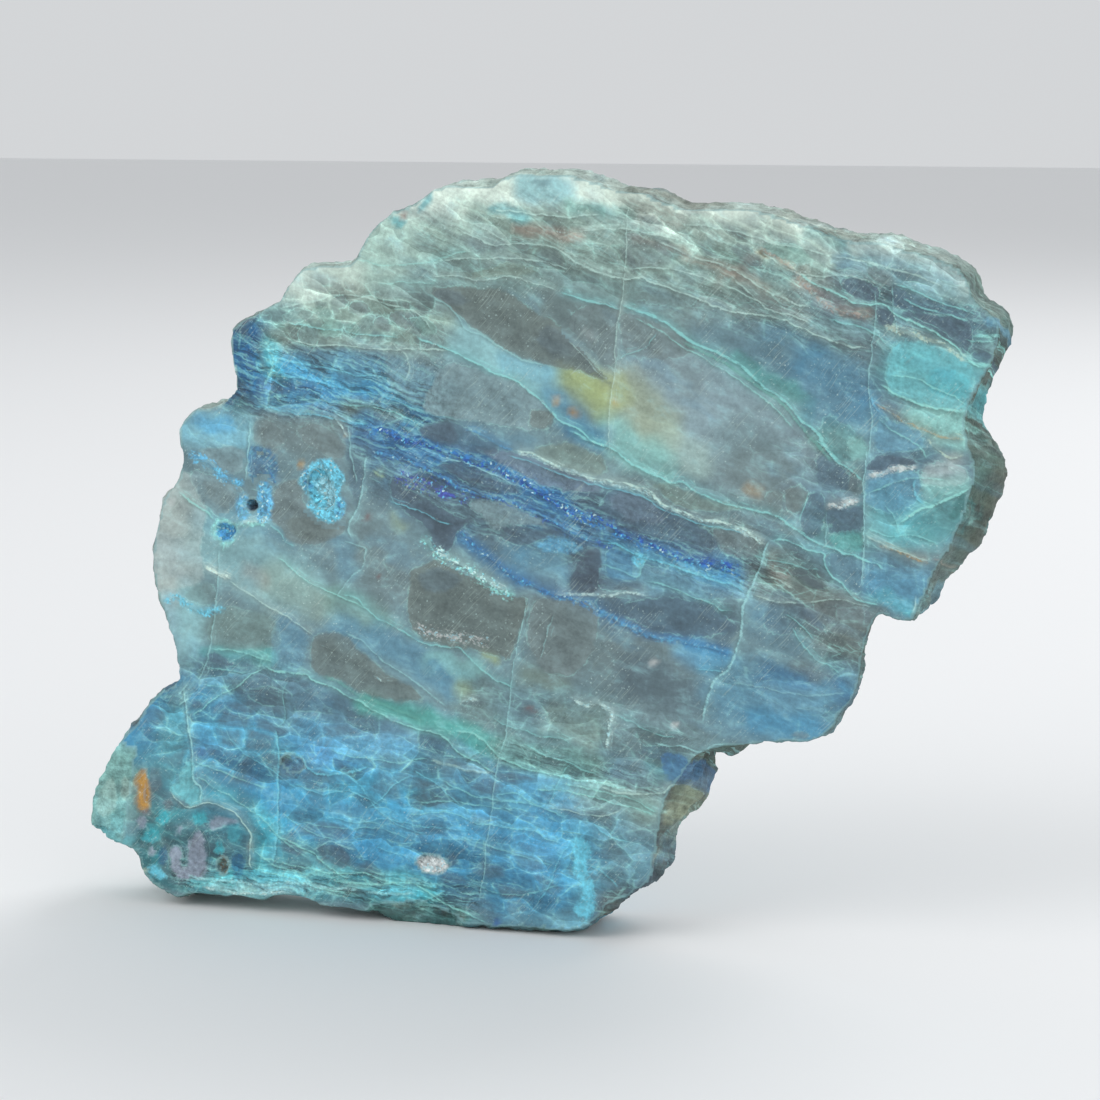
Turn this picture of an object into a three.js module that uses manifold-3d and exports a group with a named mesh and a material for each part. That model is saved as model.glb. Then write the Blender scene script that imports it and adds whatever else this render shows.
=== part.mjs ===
import * as THREE from 'three';
import { mergeVertices } from 'three/addons/utils/BufferGeometryUtils.js';
import Module from 'manifold-3d';

// Chrysocolla slab: one piece of banded blue-green copper stone, sawn flat on its two broad faces,
// with the natural broken rim left all round. Millimetres, X along the length, Z up.
// The polished face looks towards -Y and the sawn back towards +Y.

// Driving sizes
const THICKNESS = 13;
const FACE_Y = -THICKNESS / 2;

// The edge of the polished face is measured from a datum near the middle of the slab's foot.
// The origin is under the middle of the whole slab, on the surface that it stands on.
const DATUM_X = 0.6;
const DATUM_Z = 0.75;

// Number of points round the edge, the divisions that space them evenly,
// and the shares of the thickness where the rim has a loop of points
const EDGE_STEPS = 288;
const ARC_DIVISIONS = 3000;
const DEPTH_SHARES = [0, 0.04, 0.11, 0.2, 0.31, 0.43, 0.56, 0.69, 0.81, 0.92, 1];

// Lumps on the rim: how many fit round it, and how far one reaches through the thickness.
// The fine lumps are half as large both ways. Heights are to either side of the smooth rim.
const LUMP_COUNT = 96;
const LUMP_DEPTH = 2.6;
const LUMP_HEIGHT = 0.42;
const FINE_LUMP_HEIGHT = 0.2;

// Two ledges run round the rim: one steps out and the next one back in.
// Their shares of the thickness wander, and each step takes up a short share of it.
const LEDGE_SHARES = [0.34, 0.7];
const LEDGE_STEP = 0.275;
const LEDGE_MEAN = 0.4;
const LEDGE_WANDER = 0.12;
const LEDGE_SOFTNESS = 0.05;

// The polished face's edge is crisp, and the lumps reach their full height at this share behind it
const LUMPS_FULL_SHARE = 0.15;

// The edge of the polished face, clockwise as the face is looked at, in named stretches.
// A row is x, z, run and belly. Run is how far the back edge stands outside the face's edge,
// and belly is how far the middle of the rim swells beyond a straight line between the two.
// Rough scales the lumps and ledges of the stretch.
const EDGE = {
  'left point': {
    rough: 0.5,
    rows: [
      [-60, 9.6, -0.4, 0.3], [-59.3, 13.4, -0.4, 0.4], [-58.6, 15.6, -0.4, 0.5],
      [-57.3, 16.8, -0.4, 0.5], [-57, 18.4, -0.4, 0.5],
    ],
  },
  'left shoulder': {
    rough: 0.5,
    rows: [
      [-55.7, 20.1, -0.4, 0.6], [-54.1, 21.9, -0.4, 0.7], [-52.7, 23.6, -0.4, 0.7],
      [-50.5, 26.6, -0.5, 0.6], [-48.7, 28.1, -0.5, 0.4], [-46.8, 29.4, -0.6, 0.1],
      [-46.5, 30.3, -0.7, 0.1],
    ],
  },
  'left lobe': {
    rough: 0.5,
    rows: [
      [-46.9, 32.4, -0.7, 0.4], [-47.3, 35, -0.6, 0.6], [-48.5, 38.5, -0.5, 0.8],
      [-49.6, 42, -0.4, 0.9], [-49.9, 45.2, -0.4, 0.9], [-49.5, 48.5, -0.4, 0.9],
      [-48.6, 51.7, -0.4, 0.8], [-48, 53.8, -0.5, 0.6], [-46.3, 55.5, -0.6, 0.4],
      [-45.8, 57.3, -0.7, 0.3], [-45.5, 58.9, -0.7, 0.3], [-46, 61.6, -0.6, 0.5],
      [-45.3, 63.5, -0.6, 0.5], [-43.6, 65, -0.7, 0.4], [-41.6, 65.2, -0.8, 0.3],
      [-39.8, 66.1, -0.9, 0.2], [-37.9, 68, -1, 0],
    ],
  },
  'upper left steps': {
    rough: 0.7,
    rows: [
      [-38.1, 69.6, -1, 0.2], [-38.6, 73.2, -0.8, 0.5], [-38.4, 75.3, -0.7, 0.6],
      [-37.2, 76.4, -0.7, 0.6], [-34.7, 77.6, -0.7, 0.6], [-32, 79.1, -0.7, 0.5],
      [-31, 80.9, -0.7, 0.5], [-29.9, 82.1, -0.7, 0.5], [-28.8, 83.1, -0.7, 0.5],
      [-26.3, 83.6, -0.7, 0.4], [-23, 83.7, -0.7, 0.1], [-21.9, 84.5, -0.7, 0.2],
      [-20.7, 86.7, -0.6, 0.5], [-19.4, 88.3, -0.6, 0.5], [-17.5, 90, -0.6, 0.5],
      [-14.9, 91.1, -0.5, 0.5],
    ],
  },
  'top': {
    rough: 1,
    rows: [
      [-12.7, 92.4, -0.4, 0.4], [-11, 93.5, -0.3, 0.4], [-7, 93.7, -0.2, 0.4],
      [-4, 93.8, -0.2, 0.3], [-2.6, 94.7, -0.2, 0.4], [-0.8, 95.2, -0.2, 0.4],
      [2.4, 95.1, -0.3, 0.3], [4, 95.3, -0.4, 0.3], [6.4, 95.1, -0.4, 0.2],
      [8.6, 94.5, -0.4, 0.2], [11.6, 93.6, -0.4, 0.2], [15.5, 93.2, -0.5, 0.2],
      [17.4, 92.3, -0.6, 0.2], [20.4, 91.4, -0.6, 0.2], [23.4, 91.3, -0.5, 0.3],
      [28.2, 91.4, -0.4, 0.4], [32.3, 90.4, -0.5, 0.4], [36.8, 88.9, -0.6, 0.4],
      [40.6, 87.8, -0.4, 0.3], [45, 87.7, -0.4, 0.4], [46.8, 86.9, -0.4, 0.4],
      [50.6, 86, -0.5, 0.3], [53.2, 84.8, -0.6, 0.3], [54.3, 83.9, -0.7, 0.3],
    ],
  },
  'right shoulder': {
    rough: 0.9,
    rows: [
      [54.9, 82.6, -0.6, 0.3], [55.3, 81.3, -0.7, 0.2], [56.4, 80.2, -0.6, 0.3],
      [57.9, 79.1, -0.6, 0.3], [58.5, 78, -0.5, 0.4], [58.5, 76.7, -0.3, 0.4],
      [58, 74.8, -0.5, 0.4], [57.2, 72.8, -0.6, 0.3], [56.3, 71, -0.2, 0.3],
      [55.4, 69.4, 0.2, 0.3], [54.9, 67.6, 0.4, 0.3], [54.7, 65.8, 0.4, 0.4],
      [55, 64.4, 0.6, 0.4],
    ],
  },
  'right bulge': {
    rough: 1.5,
    rows: [
      [55.7, 62.6, 1.5, 0.7], [56, 60.8, 2.3, 0.9], [55.6, 58.4, 2.3, 1],
      [55, 56.2, 2.2, 0.9], [54.3, 54.2, 2.2, 0.8], [53.5, 52.2, 2, 0.8],
      [52.4, 50.2, 1.3, 0.7], [51.4, 48.6, 0.9, 0.6], [50.7, 46.7, 0.5, 0.5],
      [50, 44.7, 0.1, 0.4], [49.5, 43.2, 0, 0.4],
    ],
  },
  'corner under the bulge': {
    rough: 0.7,
    rows: [
      [48.7, 42.3, -0.5, 0.2], [47, 42.2, -0.8, 0.1], [45.3, 42.9, -1.2, 0],
      [44.4, 42.6, -1.4, 0],
    ],
  },
  'right waist': {
    rough: 0.8,
    rows: [
      [43.7, 41, -2.2, 0.1], [43.1, 38.9, -2.6, 0.1], [42.7, 36.2, -2.6, 0.1],
      [42.4, 34.2, -2.3, 0.2], [41.8, 32.4, -1.6, 0.2], [40.2, 30.4, -0.9, 0.2],
      [39.2, 28.4, -0.4, 0.3], [38.2, 27.4, -0.4, 0.3], [35.7, 26.6, -0.8, 0.2],
      [32.6, 26.4, -0.8, 0.2], [30, 26, -0.4, 0.3], [27.7, 25.6, 0.5, 0.6],
    ],
  },
  'lower right bulge': {
    rough: 1.5,
    rows: [
      [25.2, 25.3, 1.8, 1.5], [22.9, 24.5, 1, 0.3], [21.3, 22.9, 1.2, 0.3],
      [20.3, 21.1, 2.3, 0.8], [18.9, 19.4, 3.1, 1], [18.1, 17.6, 3, 1.2],
      [17.7, 15.6, 2.1, 1.1], [17.3, 13.3, 0.3, 0.7], [16.9, 11, -0.3, 0.6],
      [16.6, 9, -0.3, 0.6],
    ],
  },
  'lower right corner': {
    rough: 0.7,
    rows: [
      [16, 7.1, 0.3, 0.5], [14.4, 6.2, -0.4, 0.3], [13.2, 5, -0.3, 0.4],
      [11.4, 3.4, -0.3, 0.5], [9.4, 1.9, -0.1, 0.6], [7.6, 0.8, 0.1, 0.7],
    ],
  },
  'right foot': {
    rough: 0.3,
    rows: [
      [5.9, 0.4, 0.5, 0.9], [3.2, 0.3, 0.5, 0.9], [0.3, 0.4, 0.5, 1],
      [-1.6, 0.2, 0.5, 0.9], [-3.4, -0.1, 0.5, 0.8], [-5.6, 0.1, 0.5, 0.8],
      [-7.2, 0.1, 0.4, 0.9],
    ],
  },
  'middle foot': {
    rough: 0.5,
    rows: [
      [-9.6, -0.4, 0.2, 0.8], [-13, -0.6, 0.1, 0.8], [-16.4, -0.4, 0, 0.8],
      [-19, 0.1, -0.2, 0.7], [-21.4, 0.7, -0.4, 0.4], [-24.6, 0.8, -0.6, 0.3],
      [-27.4, 1, -0.7, 0.2],
    ],
  },
  'hollow between the feet': {
    rough: 0.7,
    rows: [
      [-29.2, 1.6, -0.8, 0.2], [-31.4, 2, -0.8, 0.2], [-33.6, 1.8, -0.8, 0.2],
      [-36, 1.1, -0.6, 0.3], [-39, 1.3, -0.4, 0.3], [-42.4, 1.2, -0.2, 0.2],
    ],
  },
  'left foot': {
    rough: 0.4,
    rows: [
      [-45.4, 1.2, 0.6, 0.3], [-47, 0.8, 1.2, 0.4], [-48.5, 0.8, 1.2, 0.4],
      [-50.2, 1.8, 0.2, 0.3], [-51.8, 2.8, -0.4, 0.3], [-52.5, 3.8, -0.6, 0.3],
      [-52.6, 5.1, -0.7, 0.2], [-53.2, 6.3, -0.7, 0.2], [-54.8, 6.9, -0.6, 0.2],
      [-56.8, 7.5, -0.6, 0.3], [-58.8, 8.4, -0.6, 0.3],
    ],
  },
};

// Vugs in the polished face, each with its place, half width, half height, depth and turn in degrees
const VUGS = {
  'dark hole': { at: [-36.1, 53], half: [0.8, 0.75], depth: 1.7, turn: 0 },
  'crystal vug': { at: [-26.7, 55.4], half: [1.7, 2.7], depth: 1.1, turn: 12 },
  'ring vug': { at: [-39.9, 49.6], half: [1.5, 1.15], depth: 0.8, turn: 10 },
  'sugary oval': { at: [-12.3, 7.6], half: [2.2, 1.15], depth: 0.8, turn: -5 },
  'nodule pocket': { at: [-41, 5.3], half: [0.8, 1.1], depth: 0.8, turn: 10 },
  'blue band pocket': { at: [-31, 19.6], half: [1.6, 1.1], depth: 0.5, turn: -15 },
};

// Shell-shaped chips broken from the rim: middle, half sizes along x, y and z, and turn in degrees.
// The middle's y is measured back from the polished face.
const CHIPS = {
  'bottom chip': { middle: [-14.4, 0, -1], half: [7.2, 1.6, 3.5], turn: -4 },
  'corner chip': { middle: [50.4, -0.2, 43.4], half: [1.1, 1.4, 2.4], turn: -12 },
  'lower right chip': { middle: [12.2, -0.2, 2.4], half: [4.2, 1.3, 1.9], turn: 42 },
  'tip chip': { middle: [-59, 0.6, 8.2], half: [1.9, 1, 0.9], turn: 22 },
  'back top chip': { middle: [24, 13.2, 91.4], half: [6, 2, 2.4], turn: 0 },
  'back left chip': { middle: [-50.6, 13.4, 46], half: [2, 2.2, 6], turn: 0 },
  'back right chip': { middle: [42.6, 13.3, 31], half: [4.4, 2, 4], turn: 40 },
};

// Lumps on the vugs and chips, as a share of their size: how much, and how many across them
const SCOOP_LUMP = 0.1;
const SCOOP_LUMPS_ACROSS = [2.2, 3.1];
const SCOOP_PATTERN_CELLS = 64;

// The worn plane across the left point: a line on the face that it starts from, and its slope
const POINT_PLANE = { at: [-54.3, 12.4], turn: -10, tilt: 8, size: 16 };

// The block of ground that is taken off below the feet: length, width and height
const GROUND_SIZE = [160, 40, 20];

// Rows of the lump pattern that the fine lumps, the ledges, the vugs and the chips start from
const FINE_ROW = 7;
const WANDER_ROW = 20;
const VUG_SEED = 6;
const CHIP_SEED = 16;

const wasm = await Module();
wasm.setup();

// A number from 0 to 1 that is fixed for each pair of whole numbers
function scatter(i, j) {
  const value = Math.sin(i * 127.1 + j * 311.7) * 43758.5453;
  return value - Math.floor(value);
}

// Smooth lumps from -1 to 1 that repeat after a whole number of cells along u
function lumps(u, v, cells) {
  const i = Math.floor(u);
  const j = Math.floor(v);
  const fu = THREE.MathUtils.smoothstep(u - i, 0, 1);
  const fv = THREE.MathUtils.smoothstep(v - j, 0, 1);
  const near = THREE.MathUtils.lerp(scatter(i % cells, j), scatter((i + 1) % cells, j), fu);
  const far = THREE.MathUtils.lerp(scatter(i % cells, j + 1), scatter((i + 1) % cells, j + 1), fu);
  return 2 * THREE.MathUtils.lerp(near, far, fv) - 1;
}

// How far the rim stands outside the edge of the face at one share of the thickness
function rimOffset({ run, belly, rough, around }, share) {
  const swell = belly * (1 - Math.abs(2 * share - 1) ** 3);
  const depth = share * THICKNESS;
  const grown = THREE.MathUtils.smoothstep(share, 0, LUMPS_FULL_SHARE);
  const broad = lumps(around * LUMP_COUNT, depth / LUMP_DEPTH, LUMP_COUNT);
  const fine = lumps(around * LUMP_COUNT * 2, FINE_ROW + 2 * depth / LUMP_DEPTH, LUMP_COUNT * 2);
  const wander = LEDGE_WANDER * lumps(around * LUMP_COUNT / 4, WANDER_ROW, LUMP_COUNT / 4);
  const ledges = LEDGE_SHARES.reduce((sum, ledge, index) => {
    const sign = index % 2 === 0 ? 1 : -1;
    const [start, end] = [ledge - LEDGE_SOFTNESS, ledge + LEDGE_SOFTNESS];
    return sum + sign * THREE.MathUtils.smoothstep(share + wander, start, end);
  }, 0);
  const step = LEDGE_STEP * (ledges - LEDGE_MEAN);
  const relief = LUMP_HEIGHT * broad + FINE_LUMP_HEIGHT * fine + step;
  return run * share + swell + rough * grown * relief;
}

// Points spaced evenly round the edge of the face, each with its outward direction and rim values
function edgePoints() {
  const rows = Object.values(EDGE).flatMap(({ rough, rows: list }) => (
    list.map((row) => [...row, rough])
  ));
  const line = new THREE.CatmullRomCurve3(
    rows.map(([x, z]) => new THREE.Vector3(x + DATUM_X, 0, z + DATUM_Z)),
    true,
    'centripetal',
  );
  line.arcLengthDivisions = ARC_DIVISIONS;
  const values = new THREE.CatmullRomCurve3(
    rows.map(([, , run, belly, rough]) => new THREE.Vector3(run, belly, rough)),
    true,
    'catmullrom',
    0.5,
  );
  const points = Array.from({ length: EDGE_STEPS }, (_, index) => {
    const around = index / EDGE_STEPS;
    const t = line.getUtoTmapping(around);
    const place = line.getPoint(t);
    const value = values.getPoint(t);
    return { x: place.x, z: place.z, run: value.x, belly: value.y, rough: value.z, around };
  });
  return points.map((point, index) => {
    const before = points[(index + EDGE_STEPS - 2) % EDGE_STEPS];
    const after = points[(index + 2) % EDGE_STEPS];
    const outward = new THREE.Vector2(before.z - after.z, after.x - before.x).normalize();
    return { ...point, outward };
  });
}

// The slab before its chips and vugs: flat face, flat back and the loops of the rim between them
function slabBlank() {
  const points = edgePoints();
  const loops = DEPTH_SHARES.map((share) => points.map((point) => {
    const offset = rimOffset(point, share);
    return new THREE.Vector3(
      point.x + point.outward.x * offset,
      FACE_Y + share * THICKNESS,
      point.z + point.outward.y * offset,
    );
  }));
  const corner = (loop, index) => loop * EDGE_STEPS + index % EDGE_STEPS;
  const triangles = [];
  for (let loop = 0; loop + 1 < loops.length; loop += 1) {
    for (let index = 0; index < EDGE_STEPS; index += 1) {
      const here = corner(loop, index);
      const next = corner(loop, index + 1);
      const behind = corner(loop + 1, index);
      const nextBehind = corner(loop + 1, index + 1);
      triangles.push(here, next, behind, next, nextBehind, behind);
    }
  }
  triangles.push(...cap(loops, 0, true), ...cap(loops, loops.length - 1, false));
  const geometry = new THREE.BufferGeometry().setFromPoints(loops.flat());
  geometry.setIndex(triangles);
  return geometry;
}

// Triangles that close one loop flat, facing -Y for the front and +Y for the back
function cap(loops, loop, front) {
  const outline = loops[loop].map(({ x, z }) => new THREE.Vector2(x, z));
  return THREE.ShapeUtils.triangulateShape(outline, []).flatMap((face) => {
    const anticlockwise = THREE.ShapeUtils.area(face.map((index) => outline[index])) > 0;
    const ordered = anticlockwise === front ? face : [...face].reverse();
    return ordered.map((index) => loop * EDGE_STEPS + index);
  });
}

// A lumpy ellipsoid that is cut out to leave a vug or a shell-shaped chip
function scoop(middle, half, turn, seed) {
  const geometry = mergeVertices(bare(new THREE.IcosahedronGeometry(1, 3)));
  const [broad, fine] = SCOOP_LUMPS_ACROSS;
  const position = geometry.attributes.position;
  const point = new THREE.Vector3();
  for (let index = 0; index < position.count; index += 1) {
    point.fromBufferAttribute(position, index);
    const bump = lumps(seed + broad * point.x, seed + broad * point.z, SCOOP_PATTERN_CELLS);
    const nick = lumps(seed + fine * point.y, seed + fine * point.x, SCOOP_PATTERN_CELLS);
    point.multiplyScalar(1 + SCOOP_LUMP * (bump + nick));
    position.setXYZ(index, point.x * half[0], point.y * half[1], point.z * half[2]);
  }
  geometry.rotateY(THREE.MathUtils.degToRad(-turn));
  geometry.translate(middle[0] + DATUM_X, middle[1] + FACE_Y, middle[2] + DATUM_Z);
  return geometry;
}

// A block whose back side is the worn plane across the left point
function pointPlane() {
  const { at, turn, tilt, size } = POINT_PLANE;
  const geometry = new THREE.BoxGeometry(size, size, size);
  geometry.translate(-size / 2, -size / 2, 0);
  geometry.rotateZ(THREE.MathUtils.degToRad(-tilt));
  geometry.rotateY(THREE.MathUtils.degToRad(-turn));
  geometry.translate(at[0] + DATUM_X, FACE_Y, at[1] + DATUM_Z);
  return geometry;
}

// A block below the surface that the slab stands on, which leaves its feet flat
function ground() {
  const geometry = new THREE.BoxGeometry(...GROUND_SIZE);
  geometry.translate(0, 0, -GROUND_SIZE[2] / 2);
  return geometry;
}

// A geometry with its positions alone
function bare(geometry) {
  geometry.deleteAttribute('normal');
  geometry.deleteAttribute('uv');
  return geometry;
}

function toSolid(geometry) {
  const merged = mergeVertices(bare(geometry));
  return new wasm.Manifold(new wasm.Mesh({
    numProp: 3,
    vertProperties: new Float32Array(merged.attributes.position.array),
    triVerts: new Uint32Array(merged.index.array),
  }));
}

function toGeometry(solid) {
  const mesh = solid.getMesh();
  const geometry = new THREE.BufferGeometry();
  geometry.setAttribute('position', new THREE.BufferAttribute(mesh.vertProperties, 3));
  geometry.setIndex(new THREE.BufferAttribute(mesh.triVerts, 1));
  geometry.computeVertexNormals();
  return geometry;
}

function slab() {
  const vugs = Object.values(VUGS).map(({ at, half, depth, turn }, index) => (
    scoop([at[0], 0, at[1]], [half[0], depth, half[1]], turn, VUG_SEED + index)
  ));
  const chips = Object.values(CHIPS).map(({ middle, half, turn }, index) => (
    scoop(middle, half, turn, CHIP_SEED + index)
  ));
  const cuts = [...vugs, ...chips, pointPlane(), ground()];
  const solid = cuts.reduce((left, cut) => left.subtract(toSolid(cut)), toSolid(slabBlank()));
  const stone = new THREE.MeshStandardMaterial({ color: 0x5e9aa0, roughness: 0.38, metalness: 0 });
  const mesh = new THREE.Mesh(toGeometry(solid), stone);
  mesh.name = 'slab';
  return mesh;
}

const model = new THREE.Group();
model.add(slab());

export default model;
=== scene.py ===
"""Chrysocolla slab: one piece of banded blue-green copper stone, polished on the face that looks to -Y.

Markings are given in millimetres on the plane of the polished face, as x and z from a datum near the
middle of the foot, and follow the stone through its thickness.
"""

import logging
import math
from dataclasses import dataclass, field
from enum import Enum
from typing import Any, Callable, Mapping, Sequence, Union

import bmesh
import bpy
import numpy as np
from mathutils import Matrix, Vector, noise
from mathutils.bvhtree import BVHTree


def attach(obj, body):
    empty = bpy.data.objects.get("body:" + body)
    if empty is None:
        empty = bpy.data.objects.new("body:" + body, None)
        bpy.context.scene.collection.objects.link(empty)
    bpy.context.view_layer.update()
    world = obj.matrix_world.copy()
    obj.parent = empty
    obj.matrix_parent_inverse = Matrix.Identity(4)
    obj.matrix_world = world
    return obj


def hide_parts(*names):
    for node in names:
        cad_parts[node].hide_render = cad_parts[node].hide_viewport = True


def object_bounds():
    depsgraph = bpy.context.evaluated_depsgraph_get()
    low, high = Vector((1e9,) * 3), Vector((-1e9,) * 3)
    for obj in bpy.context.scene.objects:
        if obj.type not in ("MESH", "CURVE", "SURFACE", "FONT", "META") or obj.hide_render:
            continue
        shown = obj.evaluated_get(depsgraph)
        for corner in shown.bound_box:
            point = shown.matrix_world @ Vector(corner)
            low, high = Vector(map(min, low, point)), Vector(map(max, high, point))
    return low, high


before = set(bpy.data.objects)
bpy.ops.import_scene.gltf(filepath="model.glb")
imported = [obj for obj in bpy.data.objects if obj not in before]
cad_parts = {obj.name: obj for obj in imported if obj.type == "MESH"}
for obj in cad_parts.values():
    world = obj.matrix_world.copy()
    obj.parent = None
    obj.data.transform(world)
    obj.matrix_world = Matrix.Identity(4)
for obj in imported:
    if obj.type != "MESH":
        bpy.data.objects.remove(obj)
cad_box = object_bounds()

log = logging.getLogger("slab")

# Lengths are in millimetres, and MM turns them into metres
MM = 0.001
THICKNESS = 13.0
FACE_Y = -THICKNESS / 2
BACK_Y = THICKNESS / 2
DATUM = (0.6, 0.75)
FAR = 99.0
NOISE_SEED = 1
TINY = 1e-9
WELD = 0.001
VEIN_LAYERS = ("vein_a", "vein_b")
LENS_LAYERS = ("lens_a", "lens_b")

Point = tuple[float, float]
Path = tuple[float, ...]


def to_linear(value: float) -> float:
    """Turns an sRGB channel from 0 to 255 into linear light."""
    share = value / 255
    return share / 12.92 if share <= 0.04045 else ((share + 0.055) / 1.055) ** 2.4


class Mineral(Enum):
    """The stone's minerals and mixtures, one of them with a painted sheen, by their colour in sRGB."""

    GROUND = (116, 141, 148)
    MILKY = (178, 186, 182)
    # Milky lilac-grey, partly the stone's own milky tone and partly a painted sheen
    LILAC_SHEEN = (148, 166, 173)
    PALE_GREY = (127, 148, 153)
    GREY = (114, 126, 127)
    SMOKE = (106, 114, 110)
    SLATE = (80, 102, 118)
    DARK_SLATE = (78, 94, 108)
    NIGHT = (68, 78, 92)
    BLUE_GREY = (97, 130, 146)
    BLUE_HAZE = (100, 147, 170)
    FIELD_BLUE = (62, 146, 188)
    LIGHT_BLUE = (94, 176, 220)
    SKY = (112, 202, 224)
    ICE = (165, 203, 212)
    AZURE = (48, 110, 154)
    DEEP_BLUE = (56, 110, 166)
    AZURITE = (40, 84, 168)
    VIOLET = (72, 84, 168)
    CYAN = (132, 184, 200)
    PALE_CYAN = (150, 192, 196)
    MINT_HAZE = (146, 196, 190)
    PALE_MINT = (180, 202, 190)
    GREY_MINT = (158, 178, 166)
    TEAL_GREY = (116, 138, 136)
    TURQUOISE = (114, 187, 193)
    BRIGHT_TEAL = (70, 184, 192)
    DEEP_TEAL = (86, 136, 138)
    GREEN = (86, 168, 158)
    GREEN_GREY = (120, 156, 146)
    SKIN = (234, 242, 228)
    SKIN_GREY = (196, 208, 198)
    CHIP_GREEN = (58, 110, 108)
    OLIVE = (122, 132, 112)
    OCHRE = (178, 186, 118)
    BEIGE = (170, 176, 148)
    CREAM = (206, 214, 190)
    PEARL = (214, 208, 206)
    DUSK = (98, 114, 124)
    UMBER = (104, 100, 106)
    INK_TEAL = (22, 82, 126)
    LAGOON = (56, 164, 176)
    RUST = (186, 148, 132)
    ORANGE = (198, 140, 48)
    GOLD = (190, 134, 54)
    RED_BROWN = (138, 70, 58)
    BROWN = (112, 100, 84)
    NODULE = (48, 104, 112)
    HEATHER = (108, 122, 138)
    MAUVE = (144, 148, 164)
    CHALK = (206, 226, 222)
    FROST = (166, 212, 216)
    MINT = (150, 216, 208)
    IVORY = (200, 218, 208)
    AQUA = (136, 208, 208)
    LAKE = (104, 196, 222)
    PINE = (60, 132, 118)
    COBALT = (54, 126, 186)
    RIND_GREY = (112, 126, 118)
    RIND_BROWN = (98, 84, 66)
    RIND_GREEN = (78, 116, 106)
    RIND_PALE = (168, 180, 168)

    def linear(self) -> np.ndarray:
        """The colour in linear light."""
        return np.array([to_linear(value) for value in self.value])

    @property
    def rgba(self) -> tuple[float, ...]:
        """The colour as a shader's socket takes it."""
        return (*self.linear(), 1.0)


M = Mineral


@dataclass(frozen=True)
class Stroke:
    """A soft patch of one mineral along a path.

    Args:
        mineral: What the patch is made of.
        half: Half its width in millimetres.
        path: Its middle line as x and z in turn, or one point for a round patch.
        strength: How far it covers what is below it.
        soft: The share of the half width over which it fades.
    """

    mineral: Mineral
    half: float
    path: Path
    strength: float = 0.85
    soft: float = 0.55


@dataclass(frozen=True)
class Vein:
    """A thin crisp line of one mineral.

    Args:
        mineral: What fills the vein.
        width: Its full width in millimetres.
        path: Its middle line as x and z in turn.
        strength: How opaque it is.
        grain: How sugary it is, from 0 for clean to 1 for loose crystals.
    """

    mineral: Mineral
    width: float
    path: Path
    strength: float = 0.6
    grain: float = 0.0

    def facts(self, offset: np.ndarray, run: np.ndarray) -> np.ndarray:
        """The offset, half width and strength to store, thinner and fainter where it runs out."""
        return np.stack([offset, self.width / 4 * (1 + run), self.strength * run], 1)


@dataclass(frozen=True)
class Lens:
    """A clear pane of stone with a crisp border.

    Args:
        mineral: What the pane is made of.
        outline: Its border as x and z in turn.
        strength: How far it covers what is below it.
        film: How pale the thin film round it is.
        grain: How sugary it is.
    """

    mineral: Mineral
    outline: Path
    strength: float = 0.6
    film: float = 0.5
    grain: float = 0.0

    def facts(self, depth: np.ndarray) -> np.ndarray:
        """The depth, strength and film to store."""
        return np.stack([depth, np.full(len(depth), self.strength), np.full(len(depth), self.film)], 1)


@dataclass(frozen=True)
class Weave:
    """A zone where fine veins run through the stone.

    Args:
        half: Half its width in millimetres.
        path: Its middle line.
        streaks: How strong the fine lines along the bands are.
        cells: How strong the net of small lenses is.
    """

    half: float
    path: Path
    streaks: float = 0.0
    cells: float = 0.0


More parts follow.
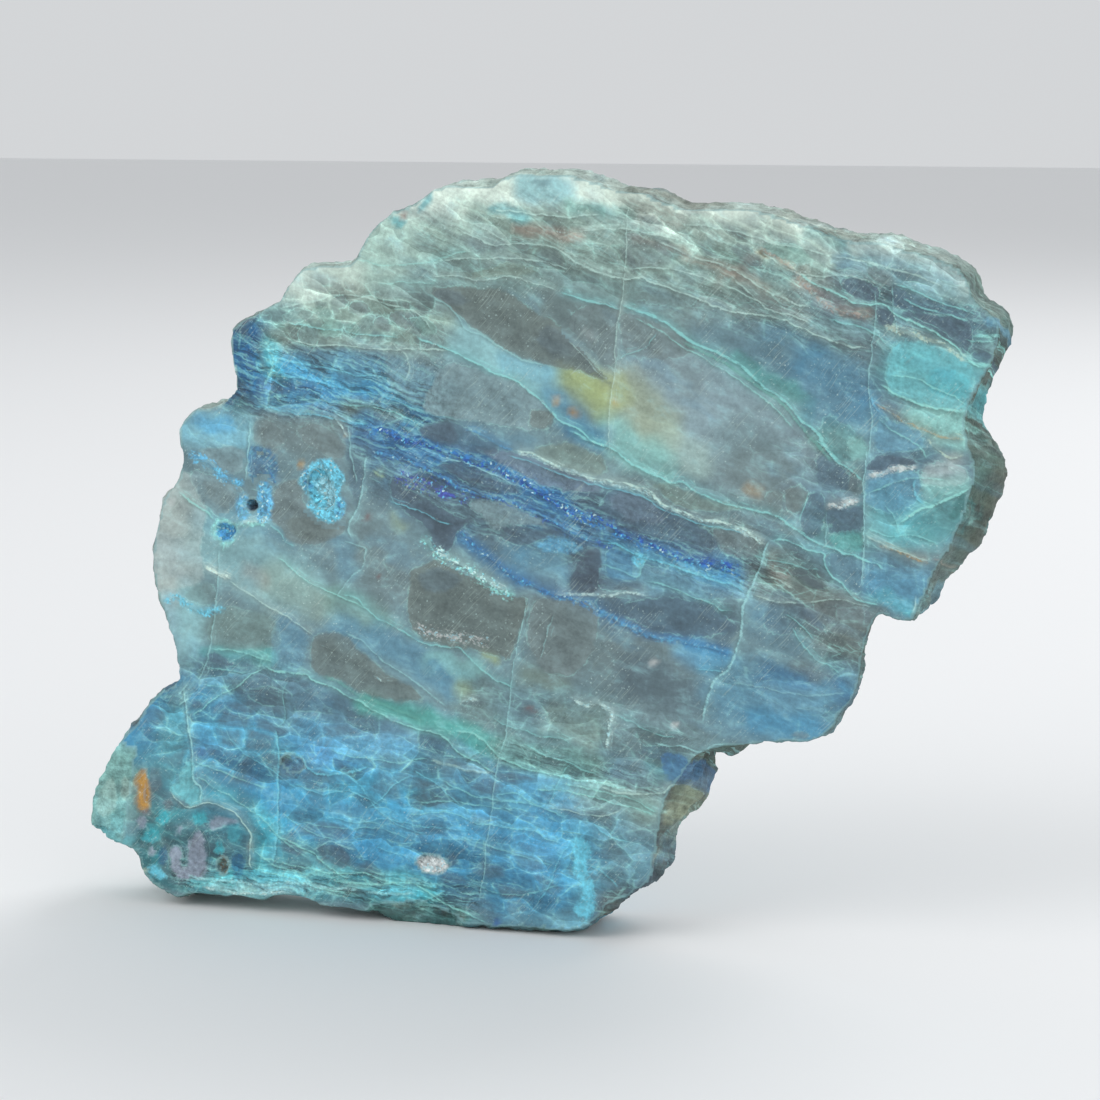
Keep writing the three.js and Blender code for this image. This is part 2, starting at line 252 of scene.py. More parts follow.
# Soft patches on the faces, drawn in this order
GROUND_STROKES: tuple[Stroke, ...] = tuple(Stroke(*row) for row in (
    # Top and its pale skin
    (M.PALE_MINT, 5.5, (-23, 84, -14, 88, -4, 91), 0.95),
    (M.GREY_MINT, 4.5, (-8, 86, 5, 86.5, 30, 82.5)),
    (M.GREEN_GREY, 3, (18, 88, 26, 87, 34, 84.5), 0.5),
    (M.SKIN, 2.7, (-14, 92.5, 8, 94, 20, 91, 30, 90, 38, 88.3), 1.0, 0.7),
    (M.PINE, 0.8, (-9, 91.6, -4, 91.4), 0.2, 0.9),
    (M.SKIN, 1.4, (18, 92, 30, 90.6, 38, 88.6), 1.0, 0.7),
    (M.ICE, 2.4, (41, 87.3, 48, 86, 54, 83.4), 1.0, 0.6),
    (M.SKIN, 1.2, (46, 87, 51, 85.6, 55, 83), 0.5, 0.7),
    (M.SKIN, 1.0, (41, 87.4, 45, 87.3), 0.7, 0.7),
    (M.PALE_CYAN, 2.0, (1, 94, 4.2, 93.4), 0.9),
    (M.PALE_MINT, 2.0, (22, 88.6, 30, 87.6, 37, 85.6), 0.7),
    (M.MINT_HAZE, 1.0, (36, 88.6, 39.5, 88), 0.6),
    (M.GREY_MINT, 1.1, (-6, 90.3, 2, 90.6, 10, 90.4), 0.8),
    (M.RUST, 0.7, (-1, 88.7, 1.5, 88.4, 7.5, 88.3), 0.6, 0.9),
    (M.RUST, 0.6, (14, 87.6, 18.5, 86.6), 0.45, 0.9),
    (M.RUST, 0.7, (-4, 84.4, -2, 84.2), 0.35, 0.9),
    (M.RUST, 0.7, (25, 83, 29, 85.5), 0.35, 0.9),
    (M.RUST, 1.2, (35, 83, 42, 79.6), 0.5, 0.9),
    (M.RUST, 0.7, (20, 86, 25, 84.4, 30, 82), 0.5, 0.9),
    (M.RUST, 0.7, (30, 80.6, 35, 78.8), 0.4, 0.9),
    (M.TURQUOISE, 0.8, (-3.2, 91, 0.2, 90.2), 0.7),
    # Upper grey-teal bands
    (M.TEAL_GREY, 4.0, (-10, 83, 28, 77, 37, 74)),
    (M.GREY, 2.5, (17, 80, 27, 77.5), 0.6),
    (M.BLUE_HAZE, 3.0, (24, 75.5, 31, 73), 0.35),
    (M.BLUE_GREY, 4.2, (32, 74.5, 42, 70), 0.7),
    (M.FIELD_BLUE, 2.4, (36, 72.4, 41, 70.6, 42, 68), 0.45, 0.8),
    (M.GREEN, 1.0, (27, 73, 32, 70.6, 36, 67.5), 0.5),
    (M.SLATE, 2.2, (40, 80.5, 46, 80, 52, 78.4, 55, 77), 0.55),
    (M.BLUE_GREY, 1.6, (46, 79, 51, 78.2, 55, 77), 0.7),
    # Panel of grey lens country under the top bands
    (M.GREY, 3.6, (4, 78, 12, 76, 18, 73.5), 0.6),
    # Milky lilac-grey patches, partly the stone's own milky tone and partly a painted sheen
    (M.LILAC_SHEEN, 6.0, (17, 70, 33, 60), 0.9),
    (M.PALE_GREY, 4.4, (28, 62, 34, 57), 0.9),
    (M.GREY, 3.0, (29, 60.6, 33, 57.4), 0.5),
    (M.GREY, 2.0, (26, 59, 32, 56), 0.5, 0.9),
    (M.GREY, 2.2, (15, 72.6, 21, 70.5), 0.35),
    (M.BEIGE, 3.0, (12.6, 69.2, 17, 64.5), 0.75),
    (M.PALE_MINT, 2.2, (18, 63, 22, 60.6), 0.5),
    (M.MINT_HAZE, 2.4, (11, 64, 13.6, 61.8, 17, 60), 0.9),
    (M.GREY_MINT, 2.0, (-15, 77.8, -10, 76)),
    (M.PALE_CYAN, 1.9, (-8, 74.8, 3, 69.6), 0.95),
    (M.CYAN, 1.3, (-2, 72.3, 3, 71), 0.7),
    (M.BLUE_HAZE, 2.0, (4, 67.6, 6.4, 65, 9.5, 63), 0.8),
    (M.OCHRE, 2.0, (6.2, 71, 9, 69.2, 10.2, 68), 0.75, 0.8),
    (M.OCHRE, 1.2, (12, 70.4, 13, 68), 0.35),
    (M.ORANGE, 0.5, (4.2, 67.7), 0.6, 0.9),
    (M.ORANGE, 0.5, (6.7, 66.3), 0.6, 0.9),
    (M.ORANGE, 0.5, (11.8, 67.7), 0.4, 0.9),
    (M.AZURE, 1.2, (6, 64.5, 9, 63.2), 0.5),
    # Upper left
    (M.GREY_MINT, 3.6, (-32, 76.4, -22, 77.4, -13, 76.6), 0.9),
    (M.SKIN, 2.4, (-30.5, 80.4, -27, 82, -23, 82.2), 0.6),
    (M.MINT_HAZE, 1.4, (-34, 76.6, -31, 78), 0.7),
    (M.FIELD_BLUE, 3.6, (-38, 69.4, -20, 68.6, -15, 66.8), 0.95),
    (M.LIGHT_BLUE, 1.6, (-33, 68.4, -28, 68), 0.45, 0.9),
    (M.BLUE_GREY, 1.8, (-26, 71.6, -16, 70.4), 0.6),
    (M.INK_TEAL, 3.2, (-37, 75.4, -37, 68), 1.0),
    (M.BRIGHT_TEAL, 1.5, (-33.5, 73, -32.5, 69.5), 0.5),
    (M.BLUE_HAZE, 2.6, (-16, 69.4, -11.5, 67.6), 0.8),
    (M.VIOLET, 0.8, (-34, 68.2, -28, 68.4), 0.5, 0.9),
    (M.DEEP_BLUE, 1.6, (-28, 67, -20, 66.4, -14, 64.6), 0.5),
    (M.OLIVE, 1.2, (-23, 66, -17, 65.2), 0.75, 0.9),
    (M.DEEP_TEAL, 1.0, (-37.4, 66.4, -36.4, 62), 0.6),
    # Left lobe
    (M.PALE_GREY, 3.4, (-34, 62.6, -26, 61.6), 0.55),
    (M.GREY, 2.6, (-33, 62.4, -26, 62), 0.7),
    (M.CYAN, 2.6, (-45, 63, -38, 62), 0.95),
    (M.LIGHT_BLUE, 1.0, (-43, 63.4, -39, 63), 0.6),
    (M.MILKY, 4.0, (-49, 53, -48, 43), 1.0),
    (M.PALE_CYAN, 3.6, (-42.5, 47.6, -31, 43), 0.6),
    (M.GREY_MINT, 2.4, (-33, 43.6, -27, 40.6), 0.6),
    (M.CYAN, 1.8, (-43, 51, -36, 50.6), 0.5),
    (M.ICE, 1.6, (-48.6, 39.6, -46.4, 36.6, -45.4, 32.4), 0.6),
    (M.PALE_CYAN, 1.8, (-44.6, 41.6, -45.2, 32)),
    (M.TEAL_GREY, 2.6, (-40.6, 36.8, -34.6, 36.6)),
    (M.GREEN, 1.0, (-42.4, 33.4, -34, 33.3), 0.8),
    (M.RUST, 1.0, (-37, 44.2, -34.5, 43.6), 0.25, 0.9),
    # Middle left
    (M.PALE_GREY, 4.6, (-21.5, 50, -18, 45), 0.75),
    (M.GREY, 3.4, (-20, 48, -18, 44), 0.45),
    (M.OCHRE, 0.7, (-17.2, 52, -16.2, 51), 0.25, 0.9),
    (M.RED_BROWN, 0.35, (-20.5, 52), 0.5, 0.9),
    (M.RED_BROWN, 0.3, (-19.5, 44.3), 0.5, 0.9),
    (M.BLUE_HAZE, 1.4, (-24, 49, -23, 45), 0.5),
    (M.GREEN_GREY, 2.0, (-24.5, 41, -19.5, 39), 0.55),
    (M.OCHRE, 0.8, (-24, 39.6, -21.4, 38.8), 0.3, 0.9),
    (M.BLUE_HAZE, 2.2, (-24, 38, -8, 31.4), 0.8),
    (M.MINT_HAZE, 1.3, (-12, 34, -6, 33), 0.55),
    (M.AZURE, 0.5, (-12.5, 33.5, -10.5, 32.6), 0.5, 0.9),
    (M.BLUE_GREY, 2.0, (-31.4, 37, -31, 33)),
    # Azurite country
    (M.SLATE, 4.0, (-18, 58, -9, 54, -1, 51.5), 0.75),
    (M.AZURE, 2.6, (-20, 62.6, -8, 59.6, 4, 55.6, 14, 51.4, 26, 47.6), 0.7, 0.9),
    (M.SLATE, 0.9, (-10, 58.6, -4, 57.2, 2, 54.6), 0.7, 0.9),
    (M.BLUE_HAZE, 3.0, (-8, 62, 2, 59, 10, 54.5), 0.4),
    (M.AZURE, 1.7, (-21, 63, -8, 60, 3, 56, 14, 51, 26, 47.6), 0.95, 0.9),
    (M.DEEP_BLUE, 1.0, (-20, 62.8, -8, 59.8, 3, 56, 14, 51.2, 24, 48.4), 0.5, 0.9),
    (M.AZURE, 1.6, (-2, 54, 14, 48, 24, 46.4), 0.5, 0.9),
    (M.SLATE, 3.0, (10, 54.6, 24, 51)),
    (M.PALE_GREY, 2.0, (0, 60.6, 8, 59.6, 16, 56.6), 0.5),
    (M.GREY, 1.8, (24, 52, 29.5, 50.4), 0.6),
    (M.BLUE_HAZE, 1.4, (26, 48.6, 30, 47.8), 0.5),
    (M.BLUE_HAZE, 2.6, (1, 48.6, 8, 47, 14, 47.4, 22, 45.4), 0.7),
    (M.DARK_SLATE, 2.0, (7.6, 48, 9, 44.6)),
    (M.AZURE, 1.0, (-8, 50, -1, 45.2, 6, 43, 14, 39.8, 26, 37.4), 0.6, 0.9),
    (M.GREY, 3.6, (2.5, 40.5, 5, 36), 0.75),
    (M.SLATE, 2.6, (13, 42, 25, 41), 0.75),
    (M.LIGHT_BLUE, 1.6, (20.6, 37, 26, 36), 0.65),
    (M.GREY, 4.6, (13, 36, 18, 33), 0.7),
    (M.SLATE, 3.2, (15, 33.5, 21, 31), 0.45),
    (M.OLIVE, 1.5, (0.6, 33, 4.6, 31.4), 0.5, 0.9),
    (M.OCHRE, 0.6, (-5, 35.3, -3.8, 35), 0.5, 0.9),
    # Right
    (M.BLUE_HAZE, 2.2, (37, 67.6, 42.6, 66), 0.6),
    (M.AZURE, 1.0, (43.2, 69.4, 44, 67.6), 0.5),
    (M.GREEN_GREY, 2.0, (38, 64, 42, 62.6), 0.5),
    (M.BLUE_HAZE, 3.0, (45, 66, 51, 62.6), 0.5),
    (M.SLATE, 1.6, (44.6, 62, 49, 61), 0.5, 0.9),
    (M.TURQUOISE, 3.0, (47.6, 73, 52.6, 72.4), 0.9),
    (M.BRIGHT_TEAL, 1.4, (47.6, 73.8, 49.6, 73.4), 0.3, 0.9),
    (M.MINT_HAZE, 2.4, (50, 67, 54.4, 65.6), 1.0),
    (M.TURQUOISE, 1.6, (56, 72.6, 57.6, 70.6), 0.6),
    (M.BLUE_GREY, 1.4, (56.4, 78, 59, 78.6), 0.6),
    (M.BLUE_GREY, 3.0, (38, 58.6, 42, 57.4), 0.5),
    (M.DEEP_TEAL, 2.0, (38, 53.4, 42.4, 51.6), 0.75),
    (M.TURQUOISE, 3.4, (46.4, 55.4, 51.6, 55), 0.75),
    (M.FIELD_BLUE, 2.2, (44.6, 59.6, 47, 57.6), 0.5, 0.8),
    (M.BRIGHT_TEAL, 1.6, (50, 53.6, 47, 52.4), 0.4),
    (M.MINT_HAZE, 1.2, (51, 58.4, 54.4, 58.8), 0.6),
    (M.BLUE_GREY, 3.0, (38, 49, 42.4, 47), 0.7),
    (M.SMOKE, 2.8, (31.4, 47.6, 36, 45.6), 0.9, 0.8),
    (M.RUST, 0.8, (31.4, 49.4, 33, 47), 0.3, 0.9),
    (M.BLUE_HAZE, 3.0, (44, 47.6, 50, 45.8), 0.7),
    (M.FIELD_BLUE, 2.2, (45, 47, 49, 45.6), 0.4, 0.9),
    (M.BRIGHT_TEAL, 1.0, (44.6, 45, 49, 44), 0.5),
    (M.SMOKE, 3.6, (36, 42.4, 42, 40)),
    (M.HEATHER, 2.0, (37, 42, 41.4, 43), 0.5),
    (M.BLUE_GREY, 2.0, (30, 41, 34, 39), 0.6),
    (M.BLUE_HAZE, 4.6, (28, 32, 34, 30, 40, 31.6), 0.95),
    (M.AZURE, 1.4, (31, 34.6, 36, 34), 0.6, 0.9),
    (M.AZURE, 1.2, (39.6, 34, 41, 32.4), 0.6, 0.9),
    (M.FIELD_BLUE, 1.6, (30, 29, 37, 28.4), 0.45),
    (M.BROWN, 0.9, (35, 35.8, 38.6, 34.8), 0.4, 0.9),
    # Lower middle
    (M.BLUE_HAZE, 6.5, (-41, 27, -30, 25, -6, 18, 8, 17)),
    (M.SLATE, 2.4, (-31, 28.6, -20, 25.4), 0.55),
    (M.TEAL_GREY, 3.2, (-6, 28.4, 9, 27), 0.75),
    (M.BLUE_GREY, 2.8, (-1, 28.6, 4, 28), 0.6, 0.8),
    (M.GREY_MINT, 2.0, (4, 27.6, 8.6, 26), 0.55),
    (M.PALE_GREY, 3.0, (14, 27.6, 20, 26.6), 0.5),
    (M.GREEN, 1.5, (-21, 28, -14, 26.9, -4, 23.4)),
    (M.GREEN_GREY, 1.9, (-2.4, 23, 4, 22.2, 9, 22)),
    (M.DEEP_TEAL, 1.8, (17.4, 23, 21, 21.6), 0.6),
    (M.FIELD_BLUE, 8.0, (-44, 20, -30, 14, 2, 9), 0.9),
    (M.LIGHT_BLUE, 2.6, (-44, 25, -38, 21, -26, 20), 0.5),
    (M.LIGHT_BLUE, 3.2, (-14, 13, 2, 11.4), 0.75),
    (M.CYAN, 1.6, (-26, 22, -18, 21.6, -10, 19.6), 0.45, 0.9),
    (M.CYAN, 2.6, (-12, 18, 6, 16.8), 0.4),
    (M.LIGHT_BLUE, 2.4, (-8, 17, -2, 16.8, 3, 16), 0.7, 0.9),
    (M.LAGOON, 3.0, (-30, 12, -22, 17, -14, 17.4), 0.35, 0.9),
    (M.LIGHT_BLUE, 2.2, (-30, 22.6, -22, 22.4, -15, 21.4), 0.5, 0.9),
    (M.LIGHT_BLUE, 2.4, (-2, 6, 4, 5, 6, 3), 0.3, 0.9),
    (M.HEATHER, 2.4, (2.4, 9, 3, 7), 0.35, 0.9),
    (M.TURQUOISE, 1.6, (-42, 24, -38, 22, -34, 21), 0.4, 0.9),
    (M.TURQUOISE, 2.0, (-44, 17, -40, 13, -36, 11), 0.5, 0.9),
    (M.SLATE, 0.9, (-29, 17.4, -27, 16.8), 0.5, 0.9),
    (M.SLATE, 1.0, (-24, 14.4, -20.4, 14.8), 0.5, 0.9),
    (M.SLATE, 1.0, (-30.6, 12.4, -28, 11.6), 0.5, 0.9),
    (M.SLATE, 0.9, (-8, 14.2, -5.6, 13.8), 0.4, 0.9),
    (M.SLATE, 0.9, (-3.4, 10.6, -1, 10.2), 0.4, 0.9),
    (M.SLATE, 0.9, (-13, 24, -9.4, 23.6), 0.35, 0.9),
    (M.HEATHER, 1.0, (-38.6, 16.6, -37.6, 19), 0.6, 0.9),
    (M.HEATHER, 0.8, (-44.4, 20.2, -42.6, 20.6), 0.6, 0.9),
    (M.DEEP_BLUE, 1.6, (-28, 20.6, -22, 20.4), 0.45, 0.9),
    (M.DEEP_BLUE, 1.4, (-31, 10.6, -25, 10.6), 0.45, 0.9),
    (M.VIOLET, 0.9, (-43.6, 20.4), 0.45, 0.9),
    (M.VIOLET, 0.9, (-38, 14.6, -36.6, 17.2), 0.35, 0.9),
    (M.SLATE, 1.1, (-33, 14.2, -27, 14, -22, 13), 0.45, 0.9),
    (M.LAGOON, 2.6, (-36, 10, -34.4, 5.4), 0.9),
    (M.BRIGHT_TEAL, 2.4, (-35, 8, -31, 6.6, -26, 5.6), 0.85, 0.8),
    (M.BRIGHT_TEAL, 1.4, (-42, 14.4, -38, 14.4, -34, 11), 0.6, 0.9),
    (M.TURQUOISE, 1.2, (-31, 6, -22, 5.4, -14, 5.6), 0.6),
    (M.GREY_MINT, 2.8, (9.6, 17.8, 15, 16.8), 0.65),
    (M.BEIGE, 1.5, (10, 15.8, 14.6, 15), 0.4, 0.9),
    (M.BLUE_HAZE, 4.6, (11.4, 11, 14, 9), 0.75),
    (M.CYAN, 3.4, (12, 13, 13, 8.6), 0.6, 0.9),
    (M.SKY, 1.9, (7.2, 12, 7.6, 8, 7.4, 3), 0.6, 0.9),
    (M.CYAN, 1.2, (9.6, 8, 13.4, 11.8), 0.35, 0.9),
    (M.FIELD_BLUE, 3.0, (-2, 5, 4, 4.4), 0.65),
    (M.CYAN, 1.2, (-1, 1.6, 7, 1.6), 0.5),
    # A dark patch at the lower right corner, where the rim slopes down to the floor
    (M.NIGHT, 1.5, (10.2, 2.6, 14.4, 5.8), 0.8, 0.6),
    (M.BROWN, 0.9, (11, 3.6, 13, 4.8), 0.4, 0.9),
    # Lower left point
    (M.FIELD_BLUE, 4.0, (-53, 20, -48, 26)),
    (M.DEEP_TEAL, 3.0, (-52, 17.6, -48, 16), 0.55),
    (M.TURQUOISE, 2.4, (-48.6, 17, -47, 24), 0.9, 0.8),
    (M.PALE_CYAN, 1.0, (-47, 27, -45.4, 28.6), 0.7),
    (M.MINT_HAZE, 3.2, (-57.6, 11.4, -56, 15), 1.0),
    (M.PALE_MINT, 2.0, (-57.8, 12, -56.8, 15), 0.6, 0.9),
    (M.TURQUOISE, 1.2, (-57.6, 9.2, -54.6, 7.6)),
    (M.GREEN, 1.0, (-59.4, 9.8, -58.2, 9), 0.7),
    (M.NODULE, 6.3, (-47.4, 7.2, -43.6, 7.0), 0.95, 0.08),
    (M.NODULE, 2.0, (-51.6, 6, -51.2, 12, -50.2, 15.4), 0.85, 0.7),
    (M.DEEP_TEAL, 1.6, (-50, 12, -44, 11.4, -40, 9), 0.5, 0.9),
    (M.BRIGHT_TEAL, 0.9, (-41.6, 8.6, -39, 8.4, -38.6, 4.6), 0.25, 0.9),
    (M.BRIGHT_TEAL, 1.0, (-50.6, 9, -49.6, 4.6), 0.45, 0.9),
    (M.BRIGHT_TEAL, 0.8, (-47.6, 11.4, -44.4, 11.6), 0.45, 0.9),
    (M.RED_BROWN, 0.6, (-51.8, 8.2, -49.2, 7.6, -49.4, 3.6), 0.25, 0.9),
    (M.GREEN_GREY, 1.3, (-53, 12.4, -52.8, 16.2), 0.6, 0.6),
    (M.GOLD, 0.9, (-52.3, 12.4, -52.1, 16.2), 0.95, 0.35),
    # Single grains and stains
    (M.TURQUOISE, 0.6, (-16.5, 89.2, -15.8, 89.8), 0.8, 0.6),
    (M.TURQUOISE, 0.5, (-13.3, 91, -12.1, 92.2), 0.8, 0.6),
    (M.RUST, 0.5, (-15.8, 90.3), 0.8, 0.6),
    (M.NIGHT, 0.35, (2, 94.3, 3.2, 94.3), 0.5, 0.8),
    (M.GREEN, 0.9, (6, 91.8, 9.5, 91.4), 0.45, 0.8),
    (M.GREEN, 0.8, (11.5, 91, 13.5, 90.6), 0.4, 0.8),
    (M.AZURITE, 0.5, (43.6, 88.4, 45.2, 88.0), 0.8, 0.7),
    (M.ORANGE, 0.4, (29.8, 86.5, 30.4, 86.1), 0.5, 0.8),
    (M.ORANGE, 0.4, (32.5, 85, 33.1, 84.6), 0.4, 0.8),
    (M.ORANGE, 0.5, (56.3, 64.8), 0.6, 0.8),
    (M.ORANGE, 0.7, (28.5, 57.5, 29.4, 57.2), 0.3, 0.9),
    (M.OCHRE, 0.9, (-8.6, 31.2, -7.2, 30.8), 0.4, 0.9),
    (M.AZURE, 0.6, (51.4, 72.2, 53, 71.8), 0.4, 0.9),
    (M.PEARL, 0.5, (-47.2, 52.7), 0.8, 0.7),
    (M.PEARL, 0.5, (19.4, 27.7), 0.8, 0.7),
    (M.PEARL, 0.4, (16.5, 35.5), 0.7, 0.7),
    (M.PEARL, 0.5, (8.2, 76.2, 9, 75.8), 0.35, 0.9),
    (M.PEARL, 1.0, (50.6, 60.4, 53.6, 61.6), 0.4, 0.9),
    (M.RED_BROWN, 0.4, (1, 28.3), 0.6, 0.7),
    (M.CREAM, 0.5, (-37, 8.1), 0.7, 0.7),
    (M.CREAM, 0.5, (-38.6, 1.8), 0.7, 0.7),
    (M.CREAM, 0.5, (-52, 4), 0.7, 0.7),
    (M.AZURITE, 0.5, (-3.5, 0.8), 0.7, 0.7),
    (M.ORANGE, 0.45, (-29.4, 58.5), 0.7, 0.8),
    (M.ORANGE, 0.4, (-23.4, 62.5), 0.6, 0.8),
    # Foot crust
    (M.BRIGHT_TEAL, 1.9, (-44, 3.4, -38, 3.2, -22, 4, -13, 3.8), 0.85, 0.7),
    (M.SKY, 1.2, (-38, 3.8, -22, 4.2, -15, 4), 0.35, 0.8),
    (M.FROST, 0.6, (-42, 2.2, -36, 2.4, -30, 3, -22, 3), 0.5, 0.7),
    (M.NODULE, 0.5, (-40, 4.8, -34, 4.6), 0.4, 0.9),
    (M.NODULE, 0.5, (-30, 2.6, -24, 2.4, -18, 2.6), 0.6, 0.9),
    (M.CHIP_GREEN, 1.3, (-20, 0.9, -14, 0.4, -8.6, 0.7), 0.9),
    (M.BROWN, 0.5, (-8.6, 0.9), 0.6, 0.9),
    # Deeper blue over the lower field
    (M.FIELD_BLUE, 7.5, (-44, 22, -36, 13, -24, 12, -10, 14, 2, 13), 0.4, 0.8),
    (M.LIGHT_BLUE, 1.6, (-33, 68.6, -28, 67.6), 0.4, 0.8),
    (M.LIGHT_BLUE, 2.0, (7, 11.4, 9, 10.4), 0.4, 0.8),
    (M.LIGHT_BLUE, 2.6, (-8, 17, -2, 16.6), 0.35, 0.8),
    (M.MINT_HAZE, 2.8, (-58.8, 10, -56.4, 15), 0.6, 0.8),
))

# Soft patches on the rough rim, drawn in this order over a greyed copy of the face's colours
RIM_STROKES: tuple[Stroke, ...] = tuple(Stroke(*row) for row in (
    (M.SKIN_GREY, 5.0, (-46, 66, -30, 84, -12, 93, 5, 96, 25, 92, 45, 88, 56, 82), 0.7),
    (M.RIND_BROWN, 1.3, (13, 94, 22, 91.6), 0.5, 0.9),
    (M.RIND_BROWN, 1.3, (32, 91, 40, 88), 0.4, 0.9),
    (M.MINT_HAZE, 4.0, (-60, 9, -56.6, 13, -56, 18), 0.9, 0.4),
    (M.TURQUOISE, 1.4, (-59, 8.6, -55, 6.6), 0.7, 0.6),
    (M.RIND_GREEN, 4.0, (56, 82, 60, 78, 57, 70, 56, 64), 0.55),
    (M.RIND_BROWN, 2.4, (57, 74, 56, 68), 0.5, 0.9),
    (M.RIND_GREY, 5.0, (58, 63, 58, 56, 50, 44), 0.8),
    (M.RIND_GREEN, 2.0, (57, 60, 55, 53), 0.6, 0.9),
    (M.RIND_BROWN, 2.0, (59, 59, 56, 52), 0.5, 0.9),
    (M.RIND_GREY, 3.4, (42, 40, 42, 31, 36, 27), 0.4),
    (M.RIND_BROWN, 3.6, (28, 25.6, 23, 22, 21, 17), 0.7),
    (M.RIND_GREEN, 2.0, (26, 24.6, 22, 20), 0.6, 0.9),
    (M.BEIGE, 1.6, (21, 18.6, 20, 15.6), 0.7, 0.9),
    (M.CHIP_GREEN, 2.0, (-22, 0, 6, 0), 0.5),
    (M.RIND_GREEN, 3.0, (-54, 5, -46, 1, -38, 1), 0.5),
    # A dark patch on the rim at the lower right corner, where it slopes down to the floor
    (M.NIGHT, 2.4, (9.4, 1, 16, 6.6), 0.75),
    (M.BROWN, 1.2, (10, 2.4, 12, 4), 0.5, 0.9),
))

# Zones of fine veins
WEAVES: tuple[Weave, ...] = tuple(Weave(*row) for row in (
    (4.0, (-34, 76, -24, 78, -13, 77), 0.1, 1.0),
    (2.6, (-35, 75, -33, 69), 0.2, 0.9),
    (4.6, (-37, 69.6, -26, 69, -14, 67), 0.95, 0.25),
    (2.4, (-24, 66, -16, 64), 0.9, 0.5),
    (3.0, (14, 90, 44, 82), 0.4, 0.75),
    (3.0, (-20, 61.5, -8, 58.5, 20, 49.5, 30, 47), 0.65, 0.2),
    (2.0, (-18, 57, -8, 53, 6, 50), 0.5, 0.1),
    (5.0, (-10, 87, 6, 87.4, 20, 85, 44, 78), 0.35, 0.5),
    (3.0, (38, 82, 48, 80, 56, 77), 0.35, 0.4),
    (4.0, (32, 88, 44, 86, 54, 82), 0.2, 0.7),
    (5.0, (44, 72, 52, 66, 50, 58), 0.05, 0.45),
    (5.0, (36, 60, 44, 54, 47, 47), 0.05, 0.45),
    (3.6, (31, 48, 38, 43, 42, 38), 0.1, 0.75),
    (4.0, (28, 33, 40, 32), 0.1, 0.25),
    (6.0, (-46, 24, -4, 17, 12, 16), 0.15, 0.85),
    (6.0, (-34, 9, -18, 9, 0, 7, 10, 8), 0.15, 0.75),
    (3.0, (-50, 24, -46, 18), 0.1, 0.7),
    (3.0, (-44, 30, -32, 31), 0.2, 0.7),
    (3.0, (-6, 29, 20, 25), 0.1, 0.6),
    (2.0, (-2, 23, 16, 20), 0.6, 0.3),
    (3.0, (-46, 62, -38, 62), 0.1, 0.3),
    (2.2, (-46, 3.6, -30, 3.8, -8, 3.4), 1.0, 0.7),
    (4.0, (-58, 12, -55, 15), 0.15, 0.4),
    (5.0, (-50, 10, -42, 7), 0.1, 0.6),
    (5.0, (-20, 88, -12, 86), 0.2, 0.6),
    (2.6, (-18, 46, -22, 50), 0.0, 0.2),
    (3.0, (16, 57, 26, 54, 34, 51), 0.1, 0.5),
    (2.4, (8, 46, 18, 46.4, 27, 43.6), 0.1, 0.5),
))

